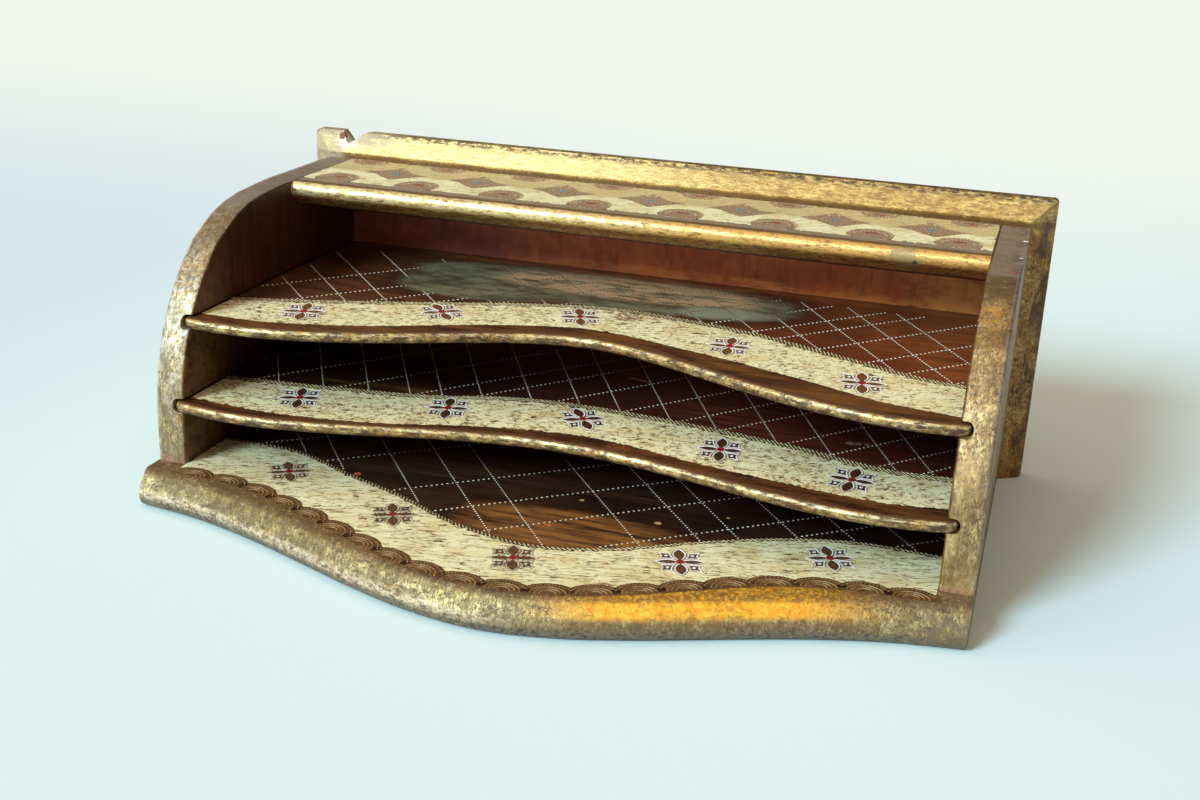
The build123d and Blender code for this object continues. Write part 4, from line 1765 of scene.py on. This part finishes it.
field = lacquered("base_lacquer", 23.0, ((90, 60, 36), (84, 50, 30)), ((38, 23, 13), (32, 17, 10)))
grain = (3, 0.36, 0.62, (9, 1, 1), 0, 7, 0.72)
field.wash("worn middle", (164, 108, 54), 0.0, field.oval(14, -2, 40, 16, 0.6), grain, 0.8)
field.chips(
    "pale chips", (206, 168, 110), (40, 16, BASE_TOP, 1.2), (9, 25, BASE_TOP, 0.9),
    (62, 30, BASE_TOP, 0.7),
)
field.chips("red chips", (196, 96, 52), (5, 0, BASE_TOP, 1.1), (-76, 16, BASE_TOP, 1.3))
for finish in (upper, lower, field):
    finish.use(*finish.coat)
print("lacquer nodes", len(upper.tree.nodes), len(lower.tree.nodes), len(field.tree.nodes))

# %% Bronze, and the lattice that the stain covers
bronze = Finish("bronze_glaze")
bronze_colour = bronze.mix((5, 0.35, 0.68, (5, 1, 1), 0, 6, 0.65), (66, 38, 18), (138, 88, 42))
light_spots = (2.0, 0.64, 0.72, EVEN, 2, 5, 0.7)
bronze_colour = bronze.mix(light_spots, bronze_colour, (186, 128, 62))
rubbed_red = bronze.times(bronze.spot(23, 20.0, LOWER_TOP, 4.0), (0.9, 0.50, 0.58))
bronze_colour = bronze.mix(rubbed_red, bronze_colour, (206, 112, 60))
bronze.use(bronze_colour, 0.40, 0.35)
bronze.relief(bronze.blotches(1.6, 6, (3, 1, 1)), 0.1)

upper_line = Finish("upper_lattice_cream")
line_colour = upper_line.mix((12, 0.46, 0.70), (255, 250, 230), (220, 200, 160))
line_colour = upper_line.mix(stained_part(upper_line), line_colour, (70, 68, 48))
upper_line.use(line_colour, 0.5)
upper_line.relief(upper_line.blotches(0.9, 3), 0.05)
print("bronze nodes", len(bronze.tree.nodes))

# %% [markdown]
# Each film and ornament now gets its material and rides on the body it is painted on. The
# flowers keep the paints that they were made with.

# %% Every film and ornament gets its finish and its body


def finished(name, finish, body):
    """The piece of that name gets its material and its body."""
    piece = bpy.data.objects[name]
    if finish:
        piece.data.materials.clear()
        piece.data.materials.append(finish.material)
    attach(piece, body)
    print(name, "faces", len(piece.data.polygons), "rides on", body)


for body, slot, rows in (
    ("upper_shelf", "lacquered_shelf", (
        (upper, "upper_lacquer_field"),
        (bronze, "upper_bronze_strip"),
        (upper_cream, "upper_cream_band"),
        (paints["braid_ground"], "upper_braid_ground"),
        (paints["braid_strokes"], "upper_braid_strokes"),
        (None, "upper_flowers"),
        (upper_line, "upper_lattice"),
    )),
    ("lower_shelf", "lacquered_shelf", (
        (lower, "lower_lacquer_field"),
        (bronze, "lower_bronze_strip"),
        (lower_cream, "lower_cream_band"),
        (paints["braid_ground"], "lower_braid_ground"),
        (paints["braid_strokes"], "lower_braid_strokes"),
        (None, "lower_flowers"),
        (paints["lattice_cream"], "lower_lattice"),
    )),
    ("case", "lacquered_shelf", ((field, "base_lacquer_field"),)),
    ("case", "gilded_wood", (
        (side, "left_panel", "right_panel"),
        (base, "dressed_base"),
        (back, "dressed_back"),
        (top, "dressed_top"),
        (base_cream, "base_cream_band"),
        (top_cream, "top_cream_field"),
        (paints["braid_ground"], "base_braid_ground"),
        (paints["braid_strokes"], "base_braid_strokes"),
        (None, "base_flowers"),
        (paints["lattice_cream"], "base_lattice"),
        (paints["scallop_ridge"], "base_scallops"),
        (paints["scallop_ground"], "base_scallop_ground", "base_scallop_shade"),
        (paints["motif_brown"], "top_lozenges", "front_rosettes", "rear_rosettes"),
        (paints["lash_light"], "front_lashes", "rear_lashes", "top_chevrons"),
        (paints["dot_blue"], "blue_dots"),
        (paints["dot_red"], "front_red_dots", "rear_red_dots"),
    )),
):
    for finish, *names in rows:
        for name in names:
            finished(name, finish, body)
